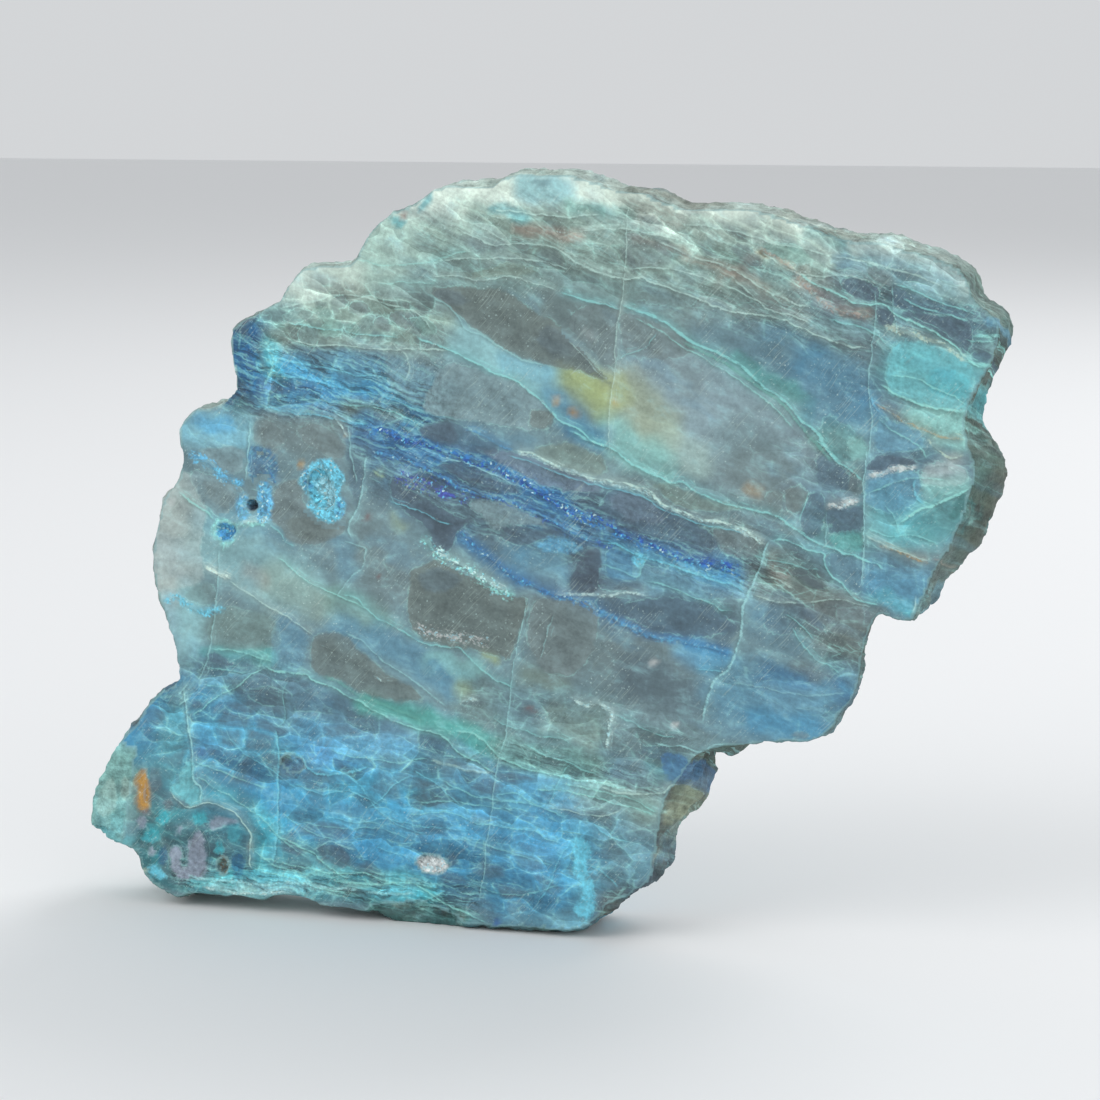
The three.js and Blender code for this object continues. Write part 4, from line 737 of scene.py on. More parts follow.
# Thin crisp veins
VEINS: tuple[Vein, ...] = tuple(Vein(*row) for row in (
    # Nodule and lower left
    (M.IVORY, 0.3, (-48.2, 15, -47.4, 14, -46.3, 13.1, -45.2, 12.9, -42.7, 13.6, -39.9, 12.9,
        -38.9, 12.2, -37.4, 10.2, -37.1, 9, -37.2, 6, -36.8, 5), 0.9),
    (M.FROST, 0.4, (-45.9, 28.8, -45.5, 24, -45.1, 21, -45, 18.8, -44.9, 16.5, -43.8, 15.2,
        -43.9, 13.3), 0.9),
    (M.FROST, 0.5, (-46.8, 27.5, -45.2, 29.5), 0.9),
    (M.FROST, 0.4, (-46.9, 26.3, -45, 27.4), 0.9),
    (M.MINT, 0.25, (-44.8, 25, -43.2, 26.2, -42.5, 27, -40.5, 28.3, -38.5, 29.3, -36.5, 31,
        -35, 32), 0.75),
    (M.AQUA, 0.25, (-43.5, 29.3, -41, 29, -39, 29.6)),
    (M.AQUA, 0.25, (-43, 31.5, -37, 31.2)),
    (M.LAKE, 0.5, (-33.9, 6, -33.1, 15, -33, 20, -33.7, 24), 0.9),
    (M.AQUA, 0.2, (-33.7, 24, -32.3, 25.3, -32.1, 27, -32.2, 29, -31.4, 30.7), 0.5),
    (M.LAKE, 0.5, (-32.9, 21.5, -31, 20.7, -29.8, 20.3, -29.2, 19.3, -28.4, 18.8, -27.6, 18.3,
        -24.5, 18.5, -22, 19.4, -20.3, 20.3), 0.8, 0.3),
    (M.MINT, 0.3, (-33.5, 10, -31.5, 9.3, -29.5, 8.4, -24.5, 5.3, -23, 4.8), 0.8),
    (M.FROST, 0.4, (-28.5, 8, -27, 8.9, -25.5, 9.4, -22, 8.8)),
    (M.MINT, 0.4, (-26, 4.5, -22, 4.2, -18, 4.7, -14.5, 4.6, -10, 2.2, -7, 1.2, -5, 0.3), 0.8),
    (M.MINT, 0.3, (-37, 8.4, -35, 6.6, -32, 5.4, -24, 4.6)),
    (M.FROST, 0.5, (-22, 3.3, -14.5, 3.3), 0.7, 0.3),
    (M.FROST, 0.7, (-46, 3.6, -41, 3.2, -36, 3.2, -31, 3.6, -26, 3.4, -22, 3.4), 0.9, 0.4),
    (M.MINT, 0.35, (-37, 5.4, -32, 4.4, -28, 3.4, -22, 2.6), 0.7),
    (M.MINT, 0.35, (-36, 6.8, -31, 6, -26, 5.4, -21, 5.6, -15, 4), 0.7),
    (M.CHALK, 0.6, (-44, 2.2, -40, 1.8, -35, 2, -31, 2.4), 0.8, 0.7),
    (M.RED_BROWN, 0.7, (-51.8, 12.8, -51.7, 15.9), 0.85),
    (M.NIGHT, 0.25, (-46.3, 3.4, -48.3, 3.9, -48.7, 6, -48, 8.4, -46.4, 7.4, -46.1, 4.8)),
    (M.NIGHT, 0.25, (-46.1, 5.2, -45.6, 7.6, -44.4, 10, -43, 8.7, -43.1, 5.5, -44.3, 2.8)),
    # Lower middle
    (M.MINT, 0.4, (-35, 32.3, -33.5, 31.7, -29, 31.4, -28, 30.8, -22.5, 28.7, -20.5, 27.6,
        -16, 25.6, -12.8, 25, -11, 24.4, -9.8, 23.6, -8.7, 22.6, -5.6, 21.1, -4.6, 20.4, -3.6, 20.2), 0.9),
    (M.PINE, 0.8, (-27, 31.4, -24, 30.3, -21, 28.9, -13, 26.2), 0.55),
    (M.MINT, 0.4, (-9.5, 25.2, -6, 24.8, -3, 22.3, 1, 20.8, 4, 20.4, 6, 20, 9.8, 19.6, 11.5, 19.3,
        14, 19.3), 0.8),
    (M.AQUA, 0.25, (-4.5, 27.3, -2, 26.3, 0, 26, 2.2, 25.3, 5, 25, 6.3, 24.3)),
    (M.AQUA, 0.25, (0, 24.3, 4, 22.6, 6, 22, 8, 21.2, 10, 20.6)),
    (M.MINT, 0.3, (1.6, 18.3, 6.5, 18.3, 17.2, 16.1), 0.75),
    (M.MINT, 0.3, (5, 19.3, 8, 19, 12, 18.2, 14, 18, 17.5, 16.2), 0.75),
    (M.IVORY, 0.4, (10, 19.2, 12.5, 18.5, 15, 18.6, 18, 18.9, 19, 19.8, 20, 20.3), 0.75),
    (M.IVORY, 0.25, (3, 15.9, 6, 16, 8.5, 15.3, 11, 15.6, 13, 16.5)),
    (M.IVORY, 0.8, (-12.5, 21.3, -8, 20.3, -5.5, 19.9, -4, 20.4), 0.5),
    (M.MINT, 0.25, (-11, 21.8, -8, 22, -6, 21.6)),
    (M.FROST, 0.22, (0.3, 43, 0.2, 41, -1.4, 33.5, -1.7, 30, -2.3, 25, -3, 22.8, -4, 18, -4.2, 15,
        -5, 10, -5.3, 7, -6, 3)),
    (M.AQUA, 0.2, (6.2, 22, 5, 20.4, 3.6, 17, 2.9, 15.8), 0.5),
    (M.CHALK, 0.6, (5.8, 30.5, 8.2, 29.5, 9.5, 29.7, 10.6, 29.2, 11.4, 28.8, 11.2, 27.5,
        10.9, 23.6), 0.8, 0.6),
    (M.CHALK, 0.7, (-8.3, 29, -7, 29.4, -5.5, 29.5), 0.75, 0.5),
    (M.AQUA, 0.25, (-26, 21.9, -23.6, 21.2, -21.5, 21, -17, 20.5, -15, 21, -12.5, 21.3), 0.65),
    (M.LAKE, 0.25, (-15, 19.8, -12, 18.3, -10, 16.9, -8.5, 15.6, -6.5, 14.4)),
    (M.LAKE, 0.25, (-21.5, 13.8, -19, 15.6, -17.5, 17.5, -16, 18.6, -14.8, 19)),
    (M.AQUA, 0.25, (-15.3, 15.6, -8.5, 16, -5, 15.7, -1, 15.7, 1, 15.2), 0.65),
    (M.AQUA, 0.25, (-15.5, 14, -10.8, 14.5, -8.5, 14.2, -6, 13.5, -1, 13.1, 1.5, 12.8, 3, 12,
        5, 11.5), 0.65),
    (M.AQUA, 0.25, (-4, 17.2, -1, 17.6, 0.6, 16.8, 2, 16.2)),
    (M.LAKE, 0.4, (8.5, 9.3, 10.5, 8, 12.5, 6.3)),
    (M.LAKE, 0.25, (-31, 16.8, -27, 16, -23, 16.4, -19, 14.6), 0.7),
    (M.MINT, 0.3, (-46, 19.4, -38, 16.8, -34, 16.2)),
    (M.MINT, 0.3, (-44.6, 17, -40, 14.8, -36, 12.4, -33, 9.8, -29, 7)),
    (M.LAKE, 0.25, (-40, 22.6, -37, 20, -34, 18.6, -30, 16), 0.5),
    (M.AQUA, 0.25, (-32.8, 13, -29, 10.6, -25, 9.6)),
    (M.LAKE, 0.3, (-24, 19, -21.6, 17, -20, 14.6, -17, 12.6, -13, 11.6)),
    (M.LAKE, 0.25, (-27, 13, -22, 12.6, -17, 13, -12, 12.4, -7, 12.4)),
    (M.AQUA, 0.3, (-12, 19, -8, 17.4, -4, 16.6, 1, 16.4, 6, 14.8)),
    (M.LAKE, 0.25, (1.6, 3.4, 3.4, 6, 4.6, 9.4, 6.2, 12), 0.5),
    (M.LAKE, 0.25, (8.6, 14.6, 11, 13, 14, 12.4)),
    (M.AQUA, 0.2, (-30, 11.8, -25, 11.4, -20, 11.8, -14, 10.4), 0.5),
    (M.LAKE, 0.25, (-20, 9.4, -16, 8.2, -14.6, 7), 0.5),
    (M.AQUA, 0.25, (-9, 11.6, -5, 10.8, 0, 9.4, 4, 8.6), 0.5),
    (M.AQUA, 0.25, (-8, 5.8, -4, 4.6, 0, 4.6, 5, 6.2), 0.45),
    # Lower right
    (M.FROST, 0.35, (17, 25.2, 18.8, 25, 21.5, 25, 22.7, 24.6, 24.5, 25.3, 26.5, 25.7), 0.75),
    (M.AQUA, 0.25, (11.4, 28.6, 14, 27.8, 17, 26.4, 20, 26.2), 0.5),
    (M.FROST, 0.3, (26.6, 33.6, 36, 32.4, 41, 33), 0.35),
    # Left lobe
    (M.LIGHT_BLUE, 1.9, (-45, 59.6, -41.5, 57.8, -40.5, 56.8, -37, 55.3), 0.95, 0.7),
    (M.MINT, 0.5, (-46.4, 54.6, -44.6, 53, -42, 51.6, -41.2, 50.8), 0.8),
    (M.MINT, 1.1, (-38.6, 50.4, -33.6, 50.8), 0.85, 0.4),
    (M.CHALK, 0.9, (-38, 50.6, -36, 51, -33.4, 51.2), 0.8, 0.3),
    (M.MINT, 0.4, (-40, 48.4, -40.2, 46.6), 0.7),
    (M.DEEP_BLUE, 0.8, (-33.8, 58, -33.2, 56.6, -32.4, 55.4), 0.8, 0.7),
    (M.DEEP_BLUE, 1.6, (-24.4, 54.8, -24.2, 53.2, -25, 51.8), 0.75, 0.8),
    (M.DEEP_BLUE, 1.3, (-28.6, 58.2, -28.8, 56.6, -28.2, 54.8), 0.7, 0.8),
    (M.FROST, 0.3, (-36.1, 64, -36.2, 62, -37, 56), 0.75),
    (M.SKIN, 0.9, (-43, 44.8, -38.8, 43.3), 1.0, 0.3),
    (M.FROST, 0.3, (-40.7, 47.3, -40.8, 43, -41.4, 39, -42, 36.5, -42.5, 33.5, -43.2, 31,
        -44.2, 29.3)),
    (M.LAKE, 1.5, (-48.8, 40, -46.5, 40.6, -45.4, 39.8, -43.5, 39, -41, 39, -39.6, 39.3), 0.8,
        0.8),
    (M.MINT, 0.3, (-42.3, 34.1, -39, 33.9, -36, 33.4, -33.4, 32.6)),
    (M.IVORY, 0.3, (-39.3, 43.2, -37.8, 42, -36, 41.2, -34.5, 40.2, -32.6, 39.3, -27.7, 36.5),
        0.7),
    (M.AQUA, 0.25, (-34.5, 51, -32.5, 49.8, -31.5, 48.5, -30, 48), 0.5),
    (M.FROST, 0.25, (-24, 48.9, -21, 48.2, -20.9, 47, -21.5, 45.5, -25, 41.5), 0.5),
    (M.MINT, 0.3, (-33, 46.5, -31, 45.3, -29, 43.7, -27, 42.8, -20.5, 40.3), 0.7),
    (M.FROST, 0.3, (-23.1, 64, -22.6, 59.5, -22, 56), 0.55),
    (M.FROST, 0.35, (-20.5, 60, -21.6, 54.5, -22.4, 52.5, -23.2, 50.7, -22.6, 49), 0.7),
    (M.FROST, 0.25, (-36.5, 55, -34, 54.8, -32.4, 56.2), 0.4),
    # Middle
    (M.AZURITE, 1.1, (-20, 63.5, -7.5, 60, -1.5, 57.7, 0.5, 57.2, 4, 55.2, 6, 54, 10.5, 52.5,
        12.5, 51.6, 15, 50.9, 20, 48.7, 24, 48.2, 28, 47.5), 0.85, 1.0),
    (M.COBALT, 1.7, (-21, 63.6, -14, 62, -10.5, 60.9, -7.5, 60.1, -3, 58.4, 0.5, 57.3, 4, 55.3,
        8.5, 53.1, 18, 49.2, 28.6, 46.8), 0.6, 1.0),
    (M.COBALT, 0.5, (-8, 63.6, -5, 63, -3, 61.8, -1, 61.3), 0.7, 0.4),
    (M.FROST, 0.25, (-11, 59.3, -9.5, 59.8, -8, 59.8, -6.5, 59.3, -2, 57.1, 0, 56.8), 0.7),
    (M.COBALT, 0.5, (-20, 60.5, -16, 59.5, -13, 58.5, -10, 57.2, -8, 56.2, -2, 54.9, 3, 52.8, 5, 52,
        7, 51, 9, 50.3), 0.8, 0.5),
    (M.AZURITE, 1.0, (-20, 60.3, -13, 58.3, -8, 56, -2, 54.7, 7, 50.8, 12, 49.6), 0.5, 1.0),
    (M.VIOLET, 1.9, (-17, 57.8, -13, 56.5, -11, 55.8, -10, 55.2, -8, 54.8, -7.3, 54), 0.9, 1.0),
    (M.OCHRE, 0.6, (-19.8, 58.1, -18.8, 57.5, -17.8, 57.2), 0.8),
    (M.LAKE, 0.3, (-18, 54.5, -13, 52.9, -11, 52, -9, 51.8), 0.7),
    (M.MINT, 1.9, (-13.4, 50.2, -12, 48.3, -10.5, 47.3, -9, 47, -7, 45.9, -6, 45, -4.5, 44.4,
        -3.2, 43.7, -1, 43), 0.75, 1.0),
    (M.CHALK, 1.1, (-12, 48.6, -10.2, 47.4, -8, 46.6, -6, 45.2, -2, 43.6), 0.9, 0.9),
    (M.DEEP_BLUE, 0.8, (-8.5, 50.8, -6.5, 49.5, -5, 48, -2, 45.8, 0, 44.8, 3, 43.7, 7, 42.8, 9, 41.9),
        0.85, 0.9),
    (M.COBALT, 1.3, (-9, 50.6, -2, 45.7, 1.5, 44.1, 5, 43.2, 9, 41.8, 13, 40, 17, 38.5, 22, 38,
        27, 37.1), 0.5, 0.6),
    (M.COBALT, 0.6, (9, 41.9, 11, 41.1, 15, 39, 17, 38.6, 21, 38.3, 27, 37.2), 0.85, 0.3),
    (M.AQUA, 0.3, (-24, 42, -22, 41.5, -20, 39.5, -18, 38.8, -13, 36.3, -11, 36, -8.5, 35.9,
        -7.5, 34.8, -5.5, 33.3, -3, 32, -1, 31.3), 0.7),
    (M.FROST, 0.3, (-24, 37.3, -21, 35.8, -18, 33.4, -10, 28.3), 0.55),
    (M.NIGHT, 0.35, (0.7, 41.5, 0.5, 39.5, 0, 38.8), 0.7),
    (M.NIGHT, 0.3, (0.1, 37, 0, 34.5), 0.5),
    (M.FROST, 0.25, (4, 40.8, 3.3, 39, 2.8, 37, 2, 35), 0.45),
    (M.AQUA, 0.3, (10, 47.4, 12, 47.2, 14.6, 46, 15.3, 47.5, 16, 48.5), 0.5),
    (M.CHALK, 0.5, (4, 43.6, 8, 43.5, 11, 43.3, 12.5, 43.8, 14, 44, 16.2, 43.9), 0.6, 0.6),
    (M.PEARL, 1.6, (-14.6, 38.6, -11, 37.4, -8, 37.2, -4, 36.6), 0.5, 1.0),
    (M.CHALK, 0.3, (-27, 35.4, -25.6, 34.8, -24.6, 34.6), 0.6, 0.8),
    (M.CHALK, 0.3, (-20, 31.6, -18.4, 31, -17, 31.2), 0.6, 0.8),
    # Middle right
    (M.IVORY, 0.5, (-1, 61.2, 0.5, 61.1, 2, 60.4, 4, 59.7, 6, 58.8, 12, 57.8, 14, 57.3, 16.3, 56.8,
        17, 55.9, 18, 55.4, 22, 54, 24, 53.4, 28, 52.6, 30, 51.2, 31, 50.9), 0.9, 0.2),
    (M.CHALK, 0.95, (-1, 61.1, 9, 58.1, 14, 57.1, 16.3, 56.6, 18, 55.2, 22, 53.9, 26, 52.9,
        29, 51.8, 31, 50.8), 0.6, 0.5),
    (M.LAKE, 0.3, (-2, 60.6, 9, 57.4, 15, 56.2, 18, 54.6, 24, 52.7, 28, 51.9)),
    (M.AQUA, 0.45, (5.8, 64, 8, 62.8, 11.5, 61.8, 14.5, 59.8, 18, 58.3, 20.5, 57.9, 22, 57,
        26, 55.5, 30, 54.9, 32, 54.5, 35, 52.6, 37.5, 51, 39, 50.8, 40.5, 50.2, 42.5, 49.8, 45.5, 48.4),
        0.9),
    (M.LAKE, 0.45, (10, 50.2, 12, 50, 16, 48.5, 22, 47, 25, 46, 27, 45.5, 28.3, 44.7), 0.8, 0.2),
    (M.AQUA, 0.3, (15.5, 45.7, 18, 45.2, 24, 43.2, 25.5, 42.3, 27, 42.2), 0.7),
    (M.LAKE, 0.25, (22, 34.8, 24, 34.7, 26, 34.8)),
    (M.FROST, 0.45, (31.5, 51.3, 30.8, 50, 30.3, 48.5, 29.6, 47, 28.2, 43, 27.9, 40, 26.8, 35.8,
        24.8, 33.7, 24, 32, 23.3, 30, 22.9, 28), 0.8, 0.2),
    (M.AQUA, 0.35, (31.3, 51.2, 32.5, 51.5, 33.8, 51.3, 36.5, 50.3, 38, 50, 38, 49, 38.5, 47.8,
        40.5, 46, 41.5, 45, 43, 44.3, 45, 43.9), 0.8),
    (M.FROST, 0.25, (38.3, 55, 37.9, 50.5)),
    (M.FROST, 0.22, (42.8, 63, 42.7, 59, 42.9, 57, 43, 51, 42.5, 46.2), 0.7),
    (M.AQUA, 0.25, (36, 57.5, 35, 53.5)),
    (M.PEARL, 1.4, (38, 55.5, 42.6, 57), 0.9, 0.5),
    (M.PEARL, 1.2, (42.8, 59.6, 46, 60.3, 49.2, 61.2), 0.9, 0.5),
    (M.RUST, 1.0, (29.5, 87, 33, 85, 35.7, 82, 39.5, 79.4, 43.4, 78.8), 0.5, 0.6),
    (M.LIGHT_BLUE, 0.5, (43.5, 69.6, 43.9, 68, 44.6, 67), 0.7),
    (M.MINT, 0.3, (45.7, 72.3, 49.5, 71.5, 52.6, 70, 55, 68.5)),
    (M.MINT, 0.8, (55.4, 77, 57.4, 76.8, 59.6, 77), 0.8, 0.2),
    (M.MINT, 0.7, (54.6, 74, 56.4, 73.5, 58.4, 73.3), 0.9, 0.2),
    (M.IVORY, 0.4, (43, 52.6, 45.6, 51.4, 51, 49.6)),
    (M.AQUA, 0.35, (36.6, 63.9, 38.5, 62.5, 40, 61, 42.8, 59), 0.75),
    (M.GOLD, 0.6, (44.5, 51.5, 47, 50.8, 51, 49.2), 0.6, 0.6),
    (M.IVORY, 0.3, (31, 47.2, 34.5, 45.5), 0.7, 0.4),
    (M.ORANGE, 0.3, (31.4, 46.2, 32.8, 45.8), 0.5, 0.3),
    (M.AQUA, 0.25, (33, 42.5, 34.2, 41.8, 37, 39.2)),
    (M.AQUA, 0.25, (34, 40.8, 35.5, 38.5, 37, 37, 39, 36.2, 40.5, 35)),
    (M.IVORY, 0.3, (29, 44.6, 32, 43.8, 36, 43.8, 40, 44.4, 44, 43.6), 0.55),
    (M.AQUA, 0.25, (29, 49.6, 37.6, 47.8), 0.5),
    (M.CHALK, 0.45, (49.4, 45.4, 49.2, 44, 48.8, 43), 0.8),
    # Right end
    (M.MINT, 0.55, (47, 54, 49.5, 55.7, 51.8, 56.8, 55, 58.4, 55.8, 59.4), 0.95),
    (M.LAKE, 0.6, (49, 59.8, 49, 58.4, 49.4, 57, 50.2, 56.4), 0.85),
    (M.AQUA, 0.3, (43.2, 53.4, 46, 52.6, 49, 52.8, 52, 51.8)),
    (M.MINT, 0.3, (43, 57.6, 46, 58.8, 49, 59.8, 53, 59.4), 0.55),
    (M.AQUA, 0.25, (45.2, 56.4, 46.8, 54.6, 47.6, 52.4), 0.5),
    (M.RUST, 0.5, (51, 49.8, 52.5, 50), 0.5, 0.4),
    (M.CHALK, 0.4, (50.5, 61, 52.4, 61.4, 54, 60.8), 0.6, 0.6),
    # Upper left
    (M.LAKE, 0.25, (-34, 71.8, -28, 71.2, -22, 70.2, -17, 69.6)),
    (M.LAKE, 0.25, (-34, 70.2, -23, 68.4, -17, 67.2, -13, 65.6)),
    (M.AQUA, 0.25, (-30, 66.8, -24, 66.6, -18, 65.8, -13, 64)),
    (M.LAKE, 0.35, (-36, 66, -25, 64.4, -20, 63.9), 0.55, 0.2),
    (M.MINT, 0.4, (-35, 73.8, -33.4, 72.6, -32.8, 71, -34.4, 68), 0.6, 0.5),
    (M.IVORY, 0.3, (-31.8, 74.6, -28, 73.9, -23, 73.7, -18, 73.4, -13, 73.6, -9.6, 73.4), 0.75),
    (M.CHALK, 0.35, (-25, 65, -23, 62), 0.8, 0.3),
    (M.IVORY, 0.3, (-17.6, 74.6, -15.6, 73, -15, 71, -15.6, 69.6), 0.5),
    (M.IVORY, 0.4, (-32, 78.4, -28, 79.2, -23, 80.2, -18, 79.2, -14, 78.2, -12, 76), 0.65),
    (M.AQUA, 0.3, (-31, 76.4, -26, 75.8, -21, 75.4, -16, 74.8), 0.65),
    # Upper middle
    (M.PALE_CYAN, 0.4, (-12.5, 80.5, -10, 79.3, -8.5, 77.8, -7.5, 76.3, -5, 75.2, 0, 72.5, 3, 71.8)),
    (M.AQUA, 0.4, (-14, 75, -9.5, 73.5, -5.5, 71.8, -3.5, 70.8, -1, 70, 0.5, 69, 3.5, 66.5, 5, 65,
        7, 64, 9, 62.5, 11.5, 61.8), 0.9),
    (M.IVORY, 0.2, (13.3, 92, 12.7, 80.5, 12.1, 77, 11.6, 73, 11.6, 71, 11.3, 69, 10.9, 61), 0.55),
    (M.AQUA, 0.2, (11.7, 72.8, 13, 73.7, 14.5, 74, 16, 75, 17, 76.5), 0.45),
    (M.IVORY, 0.2, (5.8, 75.2, 9.5, 71.3, 11, 70), 0.45),
    (M.IVORY, 0.25, (-12, 82.8, -9, 82.7, -5, 82.3, -1, 82.7, 0.5, 82.3, 2.5, 81.8, 4.5, 81),
        0.65),
    (M.AQUA, 0.4, (4.5, 81, 6.5, 80.4, 9, 80, 12.5, 79), 0.75),
    (M.AQUA, 0.6, (12.6, 79.7, 17, 78, 21, 75.6, 23, 74.6, 25, 74, 28, 72.3, 30, 70.4, 33.5, 67.8,
        35, 66.3, 37.2, 64.5, 37.5, 63.5, 40, 61.3), 0.9),
    (M.PINE, 0.7, (20, 75.5, 23, 73.9, 26, 72.6, 32, 68.4, 35, 65.5, 36.8, 63.4, 39, 61.4), 0.75),
    (M.MINT, 0.3, (14, 78.2, 17, 76.8, 20, 74.8, 28, 70.4, 34, 65.2)),
    (M.IVORY, 0.35, (4, 86.6, 5.5, 85.8, 7, 84.6, 9, 83.7, 12.5, 82.8, 15, 83, 16.5, 82.4, 21, 81,
        25, 79.3, 30, 78.8, 32.5, 78.4, 34, 77.5, 35.5, 77, 37.5, 76.2, 43.5, 74.9), 0.75),
    (M.IVORY, 0.25, (-9, 89, -6, 87.5, -3.5, 86.5, 0, 87, 5, 86.3)),
    (M.IVORY, 0.25, (-9.5, 90, -7, 89.5, -2, 87)),
    (M.IVORY, 0.3, (-4, 91, 5, 90.3, 10, 90.6), 0.7),
    (M.IVORY, 0.3, (-11, 84.6, -6, 85, 0, 84.9, 6, 84), 0.55),
    (M.IVORY, 0.25, (7, 88.6, 12, 88.7, 17, 88.2, 22, 87)),
    (M.IVORY, 0.25, (13, 84, 18, 84.2, 22, 83.4, 31, 80), 0.55),
    (M.MINT, 0.3, (-22, 84.5, -17, 84, -12, 84.6, -7, 86), 0.45),
    (M.MINT, 0.3, (-19, 81.6, -15, 81.8, -11, 81.7), 0.45),
    # Upper right
    (M.IVORY, 0.35, (17, 87.4, 22, 85.5, 24.5, 84.9, 27, 83.8, 29.5, 82.3, 33.5, 80.4, 36, 80.2),
        0.7),
    (M.IVORY, 0.3, (26.5, 83, 29, 81, 31, 79.5, 33, 79, 36, 77.8), 0.65),
    (M.MINT, 0.4, (34.5, 84, 36, 82.8, 40, 81.2, 41, 80.6, 43, 80.2, 45, 80.2, 46.3, 79.3,
        52, 76.5, 53.5, 75.5, 55, 74.2, 56.3, 73.2, 57.5, 73.2), 0.9),
    (M.AQUA, 0.3, (46.2, 83, 50, 81.5, 52, 80.5, 56, 79.6), 0.75),
    (M.AQUA, 0.3, (47, 81.3, 49, 80.3, 52, 79.3, 55, 78.8), 0.7),
    (M.CREAM, 0.9, (44.5, 78, 46.4, 77.3, 48, 77, 52, 75.6, 55, 73.8), 0.7, 0.5),
    (M.FROST, 0.22, (43.8, 82, 43.8, 79, 43.3, 71, 43.5, 66, 43.1, 62)),
    (M.FROST, 0.25, (45.9, 83, 46.3, 76.5), 0.5),
    (M.MINT, 0.55, (44.6, 71, 48, 69, 54.5, 67.6), 0.95),
    (M.GOLD, 0.45, (43.8, 68.5, 48, 66.2, 51.8, 64.8, 55, 64.6), 0.6, 0.4),
    (M.CREAM, 0.4, (50, 64.5, 51.5, 63.3, 53, 62.3, 55, 62.8), 0.7, 0.3),
    (M.IVORY, 0.3, (30, 86.4, 33, 84.4, 36, 83.4, 40, 83.6, 45, 82.6)),
    (M.IVORY, 0.35, (20, 89.6, 26, 89, 31, 87.6, 41, 85.6, 47, 84.4, 52, 82.6)),
    (M.MINT, 0.3, (44, 66.6, 49, 63.6, 50.4, 61.8)),
    (M.AQUA, 0.3, (38, 78.6, 41, 77.8, 44, 76.6, 46, 74.6)),
    (M.MINT, 0.35, (54.6, 76.6, 57, 76.2, 58.6, 76.4)),
))


Number = Union[float, "Socket"]


class Socket:
    """An output socket that Python's operators combine through Math nodes."""

    def __init__(self, tree: "ShaderTree", socket: bpy.types.NodeSocket) -> None:
        """Keeps the socket and the tree that it belongs to."""
        self.tree = tree
        self.socket = socket

    def _math(self, operation: str, first: Number, second: Number = 0.0) -> "Socket":
        """Adds a Math node of one or two values."""
        return self.tree.node("ShaderNodeMath", {"operation": operation}, {0: first, 1: second})

    def __add__(self, other: Number) -> "Socket":
        """Adds."""
        return self._math("ADD", self, other)

    def __radd__(self, other: Number) -> "Socket":
        """Adds to a plain number."""
        return self._math("ADD", other, self)

    def __sub__(self, other: Number) -> "Socket":
        """Subtracts."""
        return self._math("SUBTRACT", self, other)

    def __rsub__(self, other: Number) -> "Socket":
        """Subtracts from a plain number."""
        return self._math("SUBTRACT", other, self)

    def __mul__(self, other: Number) -> "Socket":
        """Multiplies."""
        return self._math("MULTIPLY", self, other)

    def __rmul__(self, other: Number) -> "Socket":
        """Multiplies a plain number."""
        return self._math("MULTIPLY", other, self)

    def __abs__(self) -> "Socket":
        """Drops the sign."""
        return self._math("ABSOLUTE", self)

    def beside(self, name: str) -> "Socket":
        """Another output of the same node."""
        return Socket(self.tree, self.socket.node.outputs[name])

    def at_least(self, other: Number) -> "Socket":
        """The larger of this and another value."""
        return self._math("MAXIMUM", self, other)

    def step(self, start: Number, end: Number, low: float = 0.0, high: float = 1.0) -> "Socket":
        """Turns this value smoothly from one level to another.

        Args:
            start: Where the change starts. It may lie above the end.
            end: Where the change ends.
            low: The level before the start.
            high: The level past the end.

        Returns:
            The level.
        """
        return self.tree.node(
            "ShaderNodeMapRange",
            {"interpolation_type": "SMOOTHSTEP", "clamp": True},
            {"Value": self, "From Min": start, "From Max": end, "To Min": low, "To Max": high},
        )


